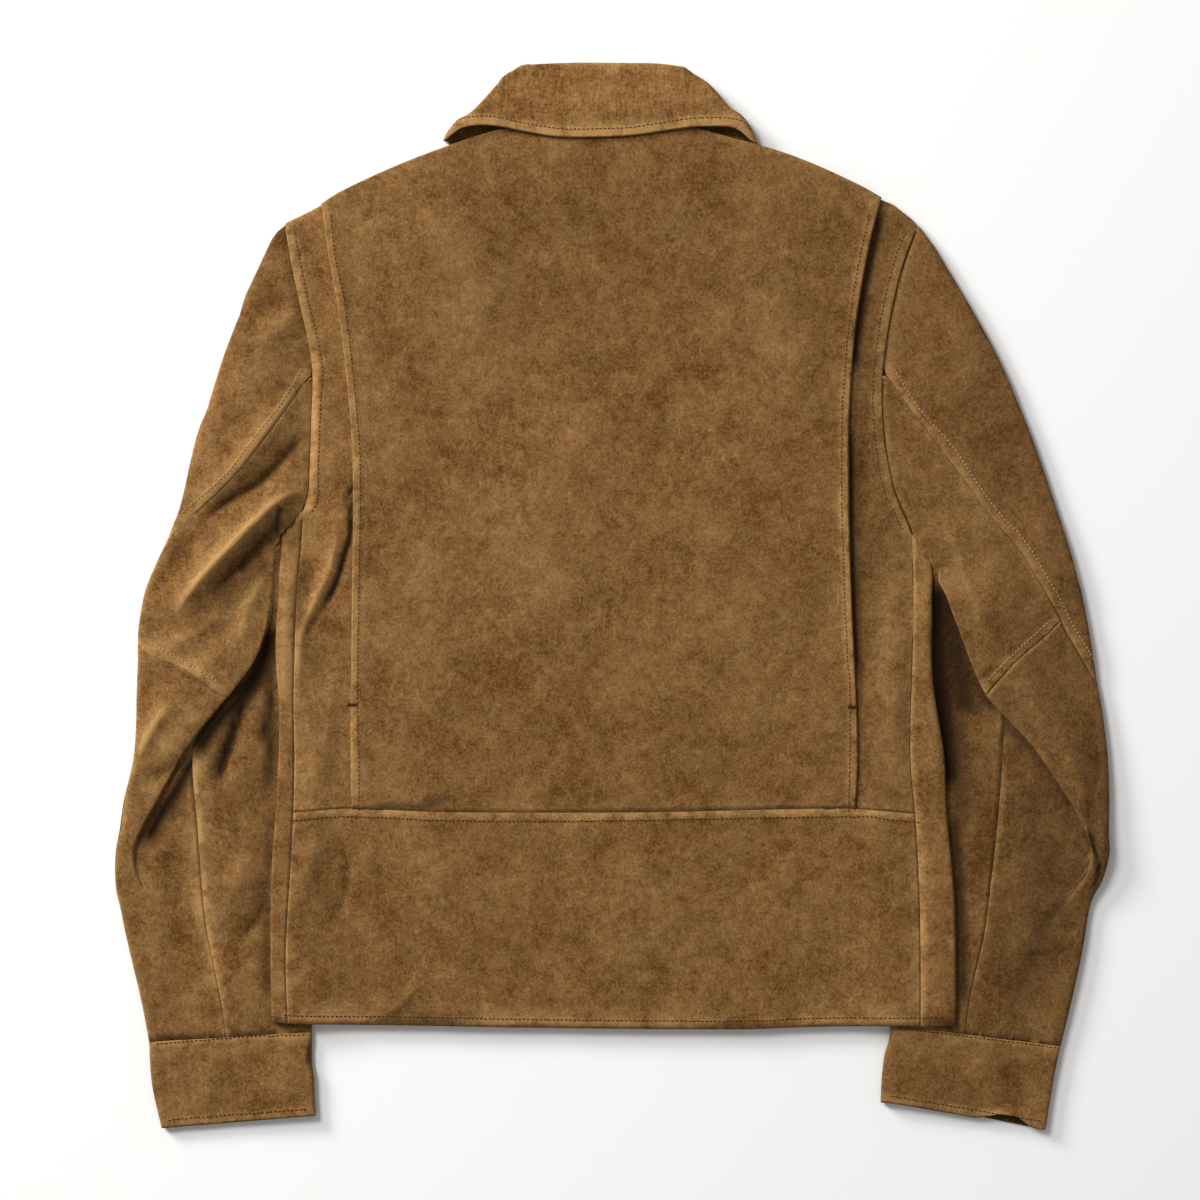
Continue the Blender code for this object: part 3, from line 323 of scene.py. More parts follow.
def push(points, move, radius, fades=(0, 0), lowest=0):
    # a small move of what lies near a line. A third number with a point is the share of the move there, fades
    # are the shares of the line's length over which its start and end fade, and nothing below lowest moves.
    table = np.array(points, float)
    line = table[:, :2]
    shares = table[:, 2] if table.shape[1] == 3 else np.ones(len(table))
    return {"line": alongLine(line, nudgeStep), "at": lengthsAlong(line) / lengthsAlong(line)[-1],
            "shares": shares, "move": np.array(move), "radius": radius, "fades": fades, "lowest": lowest}


# moves that neighbouring pieces make together
lapLeft = push([(-250, -18, 0), (-266, -50, 0.9), (-283, -71, 1), (-300, -92, 1), (-317, -113, 1.1),
                (-329, -133, 1.5), (-341, -150, 1.8), (-347, -166, 1.0), (-351, -182, 0)], (3.2, -2.4, 0), 9)
lapRight = push([(243, 26, 0), (247, 13, 0.8), (252, -8, 0.7), (257, -22, 0.6), (268, -50, 0.65),
                 (277, -72, 0.65), (292, -94, 0.35), (304, -110, 0)], (-8, -1, 0), 12)
elbowLeft = push([(-345, -33, 0), (-335, -36, 0.9), (-326, -40, 0.9), (-317, -45, 0.5), (-307, -49, 0.45),
                  (-295, -57, 0.9), (-287, -64, 0.5)], (-1, -5.2, 0), 7)
elbowRight = push([(290, -50, 0), (298, -41, 0.4), (306, -32, 0.9), (315, -22, 1.3), (324, -13, 1.2),
                   (331, -8, 0)], (2.0, -4.0, 0), 8)
shoulderRight = push([(206, 284), (217, 277)], (1.6, 2.4, 0), 8)
elbowTipLeft = push([(-361, -186), (-362, -212)], (-2, 0, 0), 12)
elbowTipRight = push([(359, -186), (355, -206)], (2, -0.5, 0), 9)
nudges = {
    "sleeve_outer_left": [
        push([(-270, 218), (-284, 185), (-296, 150), (-304, 120)], (2.2, -0.4, 0), 10, (0.1, 0.2)),
        elbowTipLeft,
        push([(-247, 267), (-243, 270)], (2.2, 0.2, 0), 5)],
    "sleeve_outer_right": [
        elbowTipRight,
        push([(227, 272, 1), (232, 264, 0.5)], (-4.0, -1.0, 0), 6)],
    "sleeve_elbow_left": [
        push([(-226, 66), (-236, 57), (-246, 46)], (3.6, -3.6, 3.2), 7, (0.6, 0)),
        lapLeft, elbowLeft],
    "sleeve_elbow_right": [
        push([(220, 46), (229, 38), (238, 28)], (-5.8, -4.4, 1.9), 7, (0.6, 0)),
        lapRight, elbowRight,
        push([(199, 160), (201, 158)], (-1.2, 1.6, 0), 3)],
    "sleeve_forearm_left": [lapLeft, elbowLeft, elbowTipLeft],
    "sleeve_forearm_right": [lapRight, elbowRight, elbowTipRight],
    "front_left": [push([(-240, 50), (-242, 30), (-242, 0)], (-1.5, 0.5, 0.5), 5, (0, 0.4))],
    "front_right": [push([(230, 34), (233, 20), (233, 0)], (1.6, 1.5, 0.5), 5, (0, 0.4)), shoulderRight],
    "back_side_right": [shoulderRight],
    "cuff_right": [
        push([(262, -379), (288, -383.5), (308, -387)], (0, 6.5, 2.4), 6.5, (0.5, 0.35), lowest=3.0),
        push([(199, -334), (196, -366)], (-1.8, -0.4, 0), 8)],
    "cuff_left": [
        push([(-220, -331), (-219, -338)], (-2.6, 0, 0.3), 4.2, lowest=3.4),
        push([(-218, -352), (-216, -380)], (1.6, 0, 0), 8)],
    "back_center": [
        push([(173, 136), (172, 60), (175, -20), (178, -70)], (0, 0, 1.3), 6, (0.2, 0.2)),
        push([(-191, 96), (-189, 60), (-190, 20)], (0, 0, 1.3), 6, (0.3, 0.3))],
    "collar_fall": [
        push([(-84, 373), (-76, 380), (-70, 384)], (-0.6, 1.0, 0), 4, (0.3, 0)),
        push([(-69, 384, 0.4), (-66, 385.5, 1), (-62.6, 385, 1)], (0.4, 2.3, 0), 2.0, lowest=2.5),
        push([(50.8, 383.6, 1), (54, 384, 1), (57.5, 382.5, 0.4)], (-0.2, 2.2, 0), 2.0, lowest=2.5),
        push([(-116, 343), (-112, 347)], (-3.0, 1.2, 0), 6),
        push([(96, 344), (91, 349)], (2.6, 1.2, 0), 6),
        push([(-120, 339), (-117, 336)], (-2.8, -6.0, -2.0), 6),
        push([(99, 339), (102, 335)], (3.4, -7.0, -2.0), 6)],
}


def nudge(piece, co):
    for p in nudges.get(piece, []):
        dist, share = toLine(co[:, 0], co[:, 1], p["line"])
        weight = bellOf(dist, p["radius"]) * np.interp(share, p["at"], p["shares"])
        weight = weight * (co[:, 2] >= p["lowest"])
        for fade, end in zip(p["fades"], (share, 1 - share)):
            if fade:
                weight = weight * ease(end / fade)
        co += weight[:, None] * p["move"]
    co[:, 2] = np.maximum(co[:, 2], 0)  # nothing goes below the surface it lies on


# pieces sewn to each other: how far apart their edges may be, and the share of it that the first one moves
sewn = [("back_center", "back_waist", 2.4, 0.5)]
for side in ("left", "right"):
    outer, elbow = "sleeve_outer_" + side, "sleeve_elbow_" + side
    fore, inner = "sleeve_forearm_" + side, "sleeve_inner_" + side
    cuff, front, back = "cuff_" + side, "front_" + side, "back_side_" + side
    sewn += [(outer, back, 6.0, 1.0), (elbow, back, 6.0, 1.0), (outer, front, 6.0, 1.0),
             (elbow, outer, 3.6, 0.5), (fore, outer, 3.6, 0.5), (inner, outer, 3.0, 0.5),
             (fore, elbow, 5.5, 0.5), (inner, fore, 2.4, 0.5), (inner, elbow, 2.4, 0.5),
             (outer, cuff, 2.4, 0.5), (fore, cuff, 2.4, 0.5), (inner, cuff, 2.4, 0.5),
             (front, back, 2.4, 0.5), (front, "back_waist", 2.4, 0.5), (back, "back_waist", 2.4, 0.5)]
# the rest of sewing: how much further than the seam's reach an edge's nearest corner may be, how near edges
# are left alone, the gap left in a closed seam, and how far behind an edge the cloth follows it
sewing = {"corner": 2, "closed": 0.1, "gap": 0.08, "follow": 5}


def edgeLines(o, co):
    # the piece's sharp edges: for each point on one, its neighbours along them
    b = bmesh.new()
    b.from_mesh(o.data)
    ties = {}
    for e in b.edges:
        if len(e.link_faces) == 2 and e.calc_face_angle() > math.radians(bends["edge"]):
            i, j = e.verts[0].index, e.verts[1].index
            ties.setdefault(i, []).append(j)
            ties.setdefault(j, []).append(i)
    b.free()
    tree = kdtree.KDTree(len(ties))
    for i in ties:
        tree.insert(co[i], i)
    tree.balance()
    return ties, tree


def towards(point, places, ties, tree, reach):
    # from a point to the nearest place on another piece's edges, or None beyond reach
    _, j, dist = tree.find(point)
    if dist > reach + sewing["corner"]:
        return None
    best, found = reach, None
    for k in ties[j]:
        a, d = places[j], places[k] - places[j]
        t = min(max(np.dot(point - a, d) / (np.dot(d, d) + tiny), 0), 1)
        away = a + t * d - point
        if np.linalg.norm(away) < best:
            best, found = np.linalg.norm(away), away
    return None if found is None or best < sewing["closed"] else found * (1 - sewing["gap"] / best)


def sew(places, edges):
    # moves of the edges' points that close the seams, then of the points behind them
    moves = {name: {} for name in places}
    for first, second, reach, share in sewn:
        for name, other, part in ((first, second, share), (second, first, 1 - share)):
            if not part:
                continue
            ties, tree = edges[other]
            for i in edges[name][0]:
                away = towards(places[name][i], places[other], ties, tree, reach)
                if away is not None:
                    moves[name].setdefault(i, []).append(away * part)
    for name, found in moves.items():
        if not found:
            continue
        keys = list(edges[name][0])
        shift = np.array([np.mean(found[i], axis=0) if i in found else np.zeros(3) for i in keys])
        order = {i: k for k, i in enumerate(keys)}
        tree = edges[name][1]
        start = places[name].copy()
        for v in range(len(start)):
            _, i, dist = tree.find(start[v])
            if dist < sewing["follow"]:
                places[name][v] = start[v] + shift[order[i]] * (1 - dist / sewing["follow"]) ** 2


class Wire:
    # a shader socket that takes part in arithmetic
    def __init__(self, graph, socket):
        self.graph, self.socket = graph, socket

    def math(self, kind, *others):
        n = self.graph.tree.nodes.new("ShaderNodeMath")
        n.operation = kind
        for slot, value in zip(n.inputs, (self,) + others):
            self.graph.plug(slot, value)
        return Wire(self.graph, n.outputs[0])

    def __add__(self, other):
        return self.math("ADD", other)

    def __sub__(self, other):
        return self.math("SUBTRACT", other)

    def __rsub__(self, other):
        return self.math("MULTIPLY_ADD", -1.0, other)

    def __mul__(self, other):
        return self.math("MULTIPLY", other)

    def __truediv__(self, other):
        return self.math("DIVIDE", other)

    def __neg__(self):
        return self.math("MULTIPLY", -1.0)

    __radd__ = __add__
    __rmul__ = __mul__

    def clamped(self):
        return self.math("MINIMUM", 1.0).math("MAXIMUM", 0.0)

    def bell(self, centre, width):
        # 1 at centre, falling off to 0 within a few widths
        q = (self - centre) / width
        return (-(q * q)).math("EXPONENT")

    def step(self, low, high):
        return self.graph.make("ShaderNodeMapRange", {"Value": self, "From Min": low, "From Max": high},
                               interpolation_type="SMOOTHSTEP")


class Graph:
    # a material and the nodes it is built from
    def __init__(self, name):
        self.material = bpy.data.materials.new(name)
        self.material.use_nodes = True
        self.tree = self.material.node_tree
        self.shader = self.tree.nodes["Principled BSDF"]
        self.place = self.make("ShaderNodeTexCoord", {}, "Object")

    def plug(self, slot, value):
        if isinstance(value, Wire):
            self.tree.links.new(value.socket, slot)
        else:
            slot.default_value = value

    def make(self, kind, inputs, output=0, **settings):
        n = self.tree.nodes.new(kind)
        for key, value in settings.items():
            setattr(n, key, value)
        for key, value in inputs.items():
            self.plug(n.inputs[key], value)
        return Wire(self, n.outputs[output])

    def noise(self, size, detail, rough, warp, at):
        # size is that of one patch, in millimetres; the value is centred on 0
        found = self.make("ShaderNodeTexNoise", {"Vector": at, "Scale": 1 / mm / size, "Detail": detail,
                                                 "Roughness": rough, "Distortion": warp})
        return found - 0.5

    def attribute(self, name):
        return self.make("ShaderNodeAttribute", {}, "Fac", attribute_name=name)

    def blend(self, share, a, b, kind="MIX"):
        return self.make("ShaderNodeMix", {0: share, 6: a, 7: b}, 2, data_type="RGBA", blend_type=kind)

    def moved(self, offset, stretch=(1, 1, 1)):
        scaled = self.make("ShaderNodeVectorMath", {0: self.place, 1: stretch}, operation="MULTIPLY")
        return self.make("ShaderNodeVectorMath", {0: scaled, 1: offset}, operation="ADD")


# the suede's patterns: size of one patch, detail, roughness, warp
patterns = {
    "patch": (62, 3, 0.55, 0.6), "blotch": (19, 2, 0.5, 0.5), "small": (6.5, 4, 0.65, 0.3),
    "nap": (1.9, 3, 0.75, 0.0), "grain": (3.2, 3, 0.6, 0.0), "brushed": (9, 3, 0.6, 1.2),
    "scratch": (34, 2, 0.45, 1.6), "scratched": (21, 2, 0.5, 0.0), "fleck": (7.5, 4, 0.72, 0.8),
    "ruddy": (30, 3, 0.5, 0.5),
}
# how patterns are pulled along the piece, and where those lie that all pieces share
brushedBy = (2.6, 0.7, 1)
scratchedAt = (3.3, 1.7, 0)
fleckAt, fleckedBy = (1.2, 4.4, 0), (1.3, 0.8, 1)
ruddyFrom = (0.31, -0.2, 0)  # beside the piece's own place
# the lightness, from the dark colour at 0 to the light one at 1, and what each thing adds to it; crest adds
# painted light on raised folds and painted shade in valleys, with wear on sharp crests
lightness = {"base": 0.345, "patch": 0.55, "blotch": 0.62, "small": 0.85, "nap": 1.5, "scratch": 0.2,
             "fleck": 0.3, "edge": 0.34, "seam": 0.3, "crest": 0.72, "wear": 0.45}
# where wear shows at all: what the patterns add to its share
wearing = {"base": 0.75, "blotch": 2.2, "small": 1.5}
# limits of the marks: half width of a scratch on its pattern, gain and start of the scratched places, the
# range of the pattern that makes a fleck, how fast wear fades from an edge, where the wear beside a seam lies
# and its half width, gain and start of the ruddy places
limits = {"scratch": 0.0065, "scratched": (7, -0.2), "fleck": (0.05, 0.2), "edge": 0.42, "seam": (3.4, 3.6),
          "ruddy": (1.5, 0.42)}
# the last colour is near black: painted shade for openings, creases and the insides of tubes
colours = {"dark": (0.088, 0.0335, 0.0058), "light": (0.302, 0.167, 0.063), "cool": (0.97, 1.02, 0.98),
           "ruddy": (1.05, 0.97, 0.92), "painted_shade": (0.012, 0.005, 0.0015)}
suedeFinish = {"Roughness": 0.95, "Specular IOR Level": 0.08, "Sheen Weight": 0.05, "Sheen Roughness": 0.6,
               "Sheen Tint": (0.9, 0.68, 0.42, 1)}
# the surface's relief: height of each pattern, the turned allowance beside a seam, and the grooves of its
# stitches, of the seam itself and of the piece's edges, as distance, half width and depth
raised = {"nap": 0.17, "small": 0.30, "blotch": 0.7, "grain": 0.2}
allowance = {"from": 8.2, "to": 5.8, "height": 0.42}
grooves = [("seam", 6.2, 0.9, 0.16), ("seam", 0.0, 0.6, 0.12), ("rim", 0.0, 0.6, 0.06)]


def summed(weights, parts):
    # a base value and each part at its weight
    total = weights["base"]
    for key, part in parts.items():
        total = part * weights[key] + total
    return total


def hidePatterns(g, offset):
    # every piece is cut from its own place on the hide
    own = g.moved(offset)
    spots = {"brushed": g.moved(offset, brushedBy), "scratched": g.moved(scratchedAt),
             "fleck": g.moved(fleckAt, fleckedBy),
             "ruddy": g.moved([a + b for a, b in zip(offset, ruddyFrom)])}
    return {key: g.noise(*pattern, spots.get(key, own)) for key, pattern in patterns.items()}


def suedeColour(g, found, marked, tint, warm, brush):
    worn = summed(wearing, {key: found[key] for key in ("blotch", "small")}).clamped()
    parts = {key: found[key] for key in ("patch", "blotch", "small", "nap")}
    gain, start = limits["scratched"]
    scratched = (found["scratched"] * gain + start).clamped()
    parts["scratch"] = found["scratch"].bell(0.0, limits["scratch"]) * scratched
    parts["fleck"] = found["fleck"].step(*limits["fleck"]) * worn
    parts["edge"] = (marked["rim"] * -limits["edge"]).math("EXPONENT") * worn
    parts["seam"] = marked["seam"].bell(*limits["seam"]) * worn
    # painted light and shade from fold height: lighter on raised folds, darker in valleys, with wear on sharp
    # crests
    parts["crest"] = marked["crest"]
    parts["wear"] = marked["wear"] * worn
    light = (summed(lightness, parts) + found["brushed"] * brush).clamped()
    # the tint also paints light: pieces on the left lighter, those on the right darker
    dark, pale = [(*[tint * c for c in colours[key]], 1) for key in ("dark", "light")]
    base = g.blend(light, dark, pale)
    gain, start = limits["ruddy"]
    shift = (found["ruddy"] * gain + (start + warm)).clamped()
    toned = g.blend(shift, (*colours["cool"], 1), (*colours["ruddy"], 1))
    colour = g.blend(1.0, base, toned, "MULTIPLY")
    # painted shade: blends toward near black where openings, creases and insides lie in shade
    return g.blend(marked["painted_shade"].clamped(), colour, (*colours["painted_shade"], 1))


def suedeRelief(g, found, marked):
    relief = marked["seam"].step(allowance["from"], allowance["to"]) * allowance["height"]
    for key, height in raised.items():
        relief = relief + found[key] * height
    for key, beside, width, depth in grooves:
        relief = relief - marked[key].bell(beside, width) * depth
    return g.make("ShaderNodeBump", {"Strength": 1.0, "Distance": mm, "Height": relief})


def suede(name, spec):
    g = Graph(name)
    found = hidePatterns(g, spec["offset"])
    marked = {key: g.attribute(key) for key in ("rim", "seam", "crest", "painted_shade", "wear")}
    colour = suedeColour(g, found, marked, spec["tint"], spec["warm"], spec["brush"])
    looks = {"Base Color": colour, "Normal": suedeRelief(g, found, marked), **suedeFinish}
    for key, value in looks.items():
        g.plug(g.shader.inputs[key], value)
    return g.material


def shellFrom(node, levels):
    # the node's wall, merged, in quads again, with its corners kept and its faces rounded
    mesh = nodes[node].data.copy()
    mesh.name = "shell_" + node
    b = bmesh.new()
    b.from_mesh(mesh)
    bmesh.ops.remove_doubles(b, verts=b.verts, dist=mergeWithin)
    bmesh.ops.join_triangles(b, faces=b.faces, angle_face_threshold=math.radians(bends["join"]),
                             angle_shape_threshold=math.radians(bends["skew"]))
    crease = b.edges.layers.float.new("crease_edge")
    for e in b.edges:
        if len(e.link_faces) == 2 and e.calc_face_angle() > math.radians(bends["crease"]):
            e[crease] = 1.0
    b.to_mesh(mesh)
    b.free()
    o = bpy.data.objects.new("suede_" + node, mesh)
    bpy.context.scene.collection.objects.link(o)
    sub = o.modifiers.new("rounding", "SUBSURF")
    sub.levels = sub.render_levels = levels
    sub.use_limit_surface = False
    bpy.context.view_layer.update()
    fine = bpy.data.meshes.new_from_object(o.evaluated_get(bpy.context.evaluated_depsgraph_get()))
    o.modifiers.clear()
    o.data = fine
    fine.name = "shell_" + node
    bpy.data.meshes.remove(mesh)
    return o


def coordinates(o):
    co = np.zeros(len(o.data.vertices) * 3)
    o.data.vertices.foreach_get("co", co)
    return co.reshape(-1, 3) / mm


def setCoordinates(o, co):
    o.data.vertices.foreach_set("co", (co * mm).ravel())
    o.data.update()


def setAttribute(o, name, values):
    a = o.data.attributes.new(name, "FLOAT", "POINT")
    a.data.foreach_set("value", np.asarray(values, np.float32))


# lines of the seams with a stitched allowance
seamLines = {
    "pleatLeft": [(-190, -156), (-190, -110), (-191, -78), (-190, 0), (-189, 60), (-189, 100), (-191, 131),
                  (-194, 161), (-197, 189), (-201, 218), (-207, 247), (-211, 283)],
    "pleatRight": [(177, -157), (178, -78), (176, -45), (174, 0), (173, 30), (172, 60), (172, 131),
                   (174, 161), (176, 189), (180, 218), (185, 247), (193, 283)],
    "waist": [(-235, -157), (-192, -154), (-115, -157), (0, -157), (173, -154), (199, -156), (224, -158)],
    "hem": [(-250, -309), (-226, -311), (-155, -312), (-40, -314), (94, -315), (147, -313), (250, -312)],
    "armLeft": [(-225, 65), (-221, 74), (-221, 92), (-220, 119), (-219, 146), (-218, 167), (-223, 193),
                (-229, 218), (-235, 247), (-239, 270)],
    "armRight": [(217, 51), (211, 64), (203, 82), (198, 115), (196, 144), (197, 168), (201, 198), (208, 230),
                 (214, 250), (222, 268)],
    "diagonalLeft": [(-218, 167), (-234, 140), (-249, 120), (-265, 99), (-277, 84), (-294, 69), (-306, 59),
                     (-314, 50), (-322, 42)],
    "diagonalRight": [(197, 168), (215, 137), (243, 104), (260, 79), (275, 58), (295, 36), (309, 13),
                      (321, -7), (327, -20), (340, -41), (351, -61)],
    "elbowLeft": elbowSeamLeft,
    "elbowRight": [(275, -69), (283, -59), (297, -45), (312, -31.5), (325, -20)],
    "cuffTopLeft": [(-338, -324), (-300, -321), (-260, -318), (-219, -317)],
    "cuffTopRight": [(203, -312), (250, -317), (290, -322), (329, -327)],
    "cuffEndLeft": [(-329, -387), (-217, -378)],
    "cuffEndRight": [(196, -368), (316, -388)],
    "collar": [(-112, 338), (-107, 342), (-89, 343), (-64, 338), (-37, 334), (-13, 334), (13, 335), (39, 339),
               (65, 342), (89, 341), (97, 335)],
}
seamStep = 5.0
seams = {name: alongLine(points, seamStep) for name, points in seamLines.items()}

# for each piece: levels of rounding, its seams, flat size and area of the cut in metres, how it is held and
# what it lies on. Then its look: tint, partly the hide's own tone and partly painted light, lighter on the
# pieces on the left and darker on those on the right; how warm, its place on the hide, how strongly it is
# brushed, how dark its inside is painted as shade, and how uneven its surface.
fronts = ["suede_front_left", "suede_front_right"]
anyPiece = {"seams": [], "area": None, "on": [], "tint": 1.0, "warm": 0.0, "brush": 0.35, "inside": 0.0,
            "uneven": 1.0}
pieces = {
    "back_center": {
        "levels": 3, "seams": ["pleatLeft", "pleatRight"], "flat": (0.44, 0.52), "area": 0.19, "held": "laid",
        "on": fronts, "offset": (0, 0, 0)},
    "back_side_left": {
        "levels": 3, "seams": ["armLeft"], "flat": (0.075, 0.46), "area": 0.026, "held": "laid",
        "on": ["suede_front_left"], "tint": 1.12, "offset": (0.4, 0.1, 0)},
    "back_side_right": {
        "levels": 3, "seams": ["armRight"], "flat": (0.075, 0.47), "area": 0.027, "held": "laid",
        "on": ["suede_front_right"], "tint": 0.84, "offset": (0.7, 0.3, 0)},
    "back_waist": {
        "levels": 3, "seams": ["waist", "hem"], "flat": (0.47, 0.163), "held": "laid", "on": fronts,
        "offset": (0.2, 0.9, 0)},
    "front_left": {
        "levels": 2, "flat": (0.27, 0.65), "area": 0.155, "held": "folded", "offset": (1.1, 0.2, 0)},
    "front_right": {
        "levels": 2, "flat": (0.27, 0.65), "area": 0.152, "held": "folded", "offset": (1.4, 0.6, 0)},
    "placket": {
        "levels": 1, "flat": (0.037, 0.57), "held": "laid", "on": fronts, "offset": (0, 0.3, 0)},
    "collar_fall": {
        "levels": 3, "seams": ["collar"], "flat": (0.33, 0.145), "area": 0.029, "held": "folded",
        "on": ["suede_back_center"], "tint": 1.22, "brush": 0.9, "inside": 0.4, "uneven": 0.6,
        "offset": (1.9, 0.2, 0)},
    "collar_stand": {
        "levels": 1, "flat": (0.09, 0.042), "held": "laid", "on": ["suede_back_center"],
        "offset": (0.5, 0.5, 0)},
    "sleeve_outer_left": {
        "levels": 2, "seams": ["diagonalLeft"], "flat": (0.13, 0.60), "area": 0.066, "held": "folded",
        "offset": (2.1, 0.2, 0)},
    "sleeve_outer_right": {
        "levels": 2, "seams": ["diagonalRight"], "flat": (0.16, 0.60), "area": 0.083, "held": "folded",
        "tint": 0.83, "warm": 0.1, "offset": (2.6, 0.9, 0)},
    "sleeve_elbow_left": {
        "levels": 3, "seams": ["elbowLeft"], "flat": (0.13, 0.24), "area": 0.016, "held": "folded",
        "on": ["suede_sleeve_outer_left"], "tint": 1.04, "offset": (3.1, 0.2, 0)},
    "sleeve_elbow_right": {
        "levels": 3, "seams": ["elbowRight"], "flat": (0.13, 0.24), "area": 0.0125, "held": "folded",
        "on": ["suede_sleeve_outer_right"], "tint": 0.88, "offset": (3.5, 0.7, 0)},
    "sleeve_forearm_left": {
        "levels": 2, "flat": (0.09, 0.29), "area": 0.019, "held": "folded",
        "on": ["suede_sleeve_outer_left"], "tint": 1.02, "offset": (4.1, 0.2, 0)},
    "sleeve_forearm_right": {
        "levels": 2, "flat": (0.12, 0.32), "area": 0.027, "held": "folded",
        "on": ["suede_sleeve_outer_right"], "tint": 0.78, "offset": (4.6, 0.4, 0)},
    "sleeve_inner_left": {
        "levels": 2, "flat": (0.11, 0.36), "area": 0.026, "held": "folded", "tint": 0.98,
        "offset": (5.1, 0.2, 0)},
    "sleeve_inner_right": {
        "levels": 2, "flat": (0.12, 0.35), "area": 0.026, "held": "folded", "tint": 0.88,
        "offset": (5.6, 0.2, 0)},
    "cuff_left": {
        "levels": 3, "seams": ["cuffTopLeft", "cuffEndLeft"], "flat": (0.242, 0.064), "held": "folded",
        "inside": 0.7, "offset": (6.1, 0.2, 0)},
    "cuff_right": {
        "levels": 3, "seams": ["cuffTopRight", "cuffEndRight"], "flat": (0.25, 0.062), "held": "folded",
        "inside": 0.7, "tint": 0.92, "offset": (6.6, 0.2, 0)},
}
pieces = {name: {**anyPiece, **spec} for name, spec in pieces.items()}
# heights above the table: folds and wear begin at "folds" and are whole "over" that much more, the inside
# of a tube is painted in shade below "inside", and seams are marked above "seams"
heights = {"folds": 1.8, "over": 1.4, "inside": 2.3, "seams": 2.0}
# painted light and shade: folds are lighter on their tops and valleys darker in proportion to their height
foldHeightLightAndShade = 0.35 / 3.0  # how much lighter a fold is for each millimetre of its height

shells = {name: shellFrom(name, spec["levels"]) for name, spec in pieces.items()}
places = {name: coordinates(o) for name, o in shells.items()}
edges = {name: edgeLines(o, places[name]) for name, o in shells.items()}
print("shells", len(shells))
rims = {name: np.array([min(edges[name][1].find(point)[2], farOff) for point in co])
        for name, co in places.items()}
sew(places, edges)
print("sewn")


def shapeShell(name, spec):
    # folds the shell, and works out what its material reads at each point
    co = places[name]
    x, y, z = co.T.copy()
    upper = ease((z - heights["folds"]) / heights["over"])
    folded = foldHeight(x, y) * upper
    light, dark = foldMarks(x, y)
    # painted shade: in openings and creases, and on the inside of a tube
    inside = np.maximum(hollowShade(name, x, y, z), spec["inside"] * (z < heights["inside"]))
    co[:, 2] += folded + spec["uneven"] * unevenness(x, y) * upper
    nudge(name, co)
    seam = np.full(len(co), farOff)
    for key in spec["seams"]:
        seam = np.minimum(seam, toLine(co[:, 0], co[:, 1], seams[key])[0])
    # the crest value is painted light on raised folds, with wear, and painted shade in valleys; the dark
    # valley marks and the insides are painted shade
    return {"rim": rims[name], "seam": np.where(z > heights["seams"], seam, farOff),
            "crest": np.clip(foldHeightLightAndShade * folded + light * upper, -1, 1),
            "painted_shade": np.maximum(inside, dark * upper), "wear": wearShade(name, x, y) * upper}


for name, spec in pieces.items():
    o = shells[name]
    marked = shapeShell(name, spec)
    setCoordinates(o, places[name])
    for key, values in marked.items():
        setAttribute(o, key, values)
    o.data.shade_smooth()
    o.data.set_sharp_from_angle(angle=math.radians(bends["sharp"]))
    o.data.materials.clear()
    o.data.materials.append(suede("suede_" + name, spec))
    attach(o, "root")
    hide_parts(name)
    print("shell", name, len(o.data.polygons))


def surfaceOf(objects):
    points, faces = [], []
    for o in objects:
        base = len(points)
        points.extend(map(tuple, coordinates(o)))
        faces.extend([base + i for i in p.vertices] for p in o.data.polygons)
    return BVHTree.FromPolygons(points, faces)


visible = surfaceOf([o for name, o in shells.items() if name not in ("placket", "collar_stand")])
overhead = 60  # height that the jacket is looked down on from, to find the surface under a stitch
steepest = 0.25  # no stitch lies where the surface faces up less than this


def offsetLine(line, offset):
    # moved sideways, to the left of its direction where the offset is positive
    d = np.gradient(line, axis=0)
    d /= np.linalg.norm(d, axis=1)[:, None] + tiny
    return line + offset * np.stack([-d[:, 1], d[:, 0]], 1)


# stitches: spacing, length, width, height above the cloth, how far they wander and how much they turn; their
# thickness is a share of their width
seamStitch = {"pitch": 3.1, "length": 2.3, "width": 0.85, "rise": 0.16, "wander": 0.12, "turn": 0.12}
acrossTack = {"pitch": 2.4, "length": 2.6, "width": 0.7, "rise": 0.25, "wander": 0.05, "turn": 0.12}
alongTack = {"pitch": 3.4, "length": 3.6, "width": 0.8, "rise": 0.45, "wander": 0.03, "turn": 0.12}
thickness = 0.8


def stitch(b, centre, along, normal, form):
    # a rounded bar, half sunk into the cloth
    side = normal.cross(along).normalized()
    along = side.cross(normal).normalized()
    for v in bmesh.ops.create_uvsphere(b, u_segments=6, v_segments=4, radius=0.5)["verts"]:
        q = v.co.copy()
        up = q.y * form["width"] * thickness + form["rise"]
        v.co = (centre + along * (q.z * form["length"]) + side * (q.x * form["width"]) + normal * up) * mm


def stitchRow(b, points, form, seed):
    rng = np.random.default_rng(seed)
    line = alongLine(points, form["pitch"])
    for start, end in zip(line, line[1:]):
        mid = (start + end) / 2 + rng.normal(0, form["wander"], 2)
        along = end - start + rng.normal(0, form["turn"], 2)
        hit, normal = visible.ray_cast(Vector((*mid, overhead)), Vector((0, 0, -1)))[:2]
        if hit is not None and normal.z >= steepest:
            stitch(b, hit, Vector((*along, 0)).normalized(), normal, form)


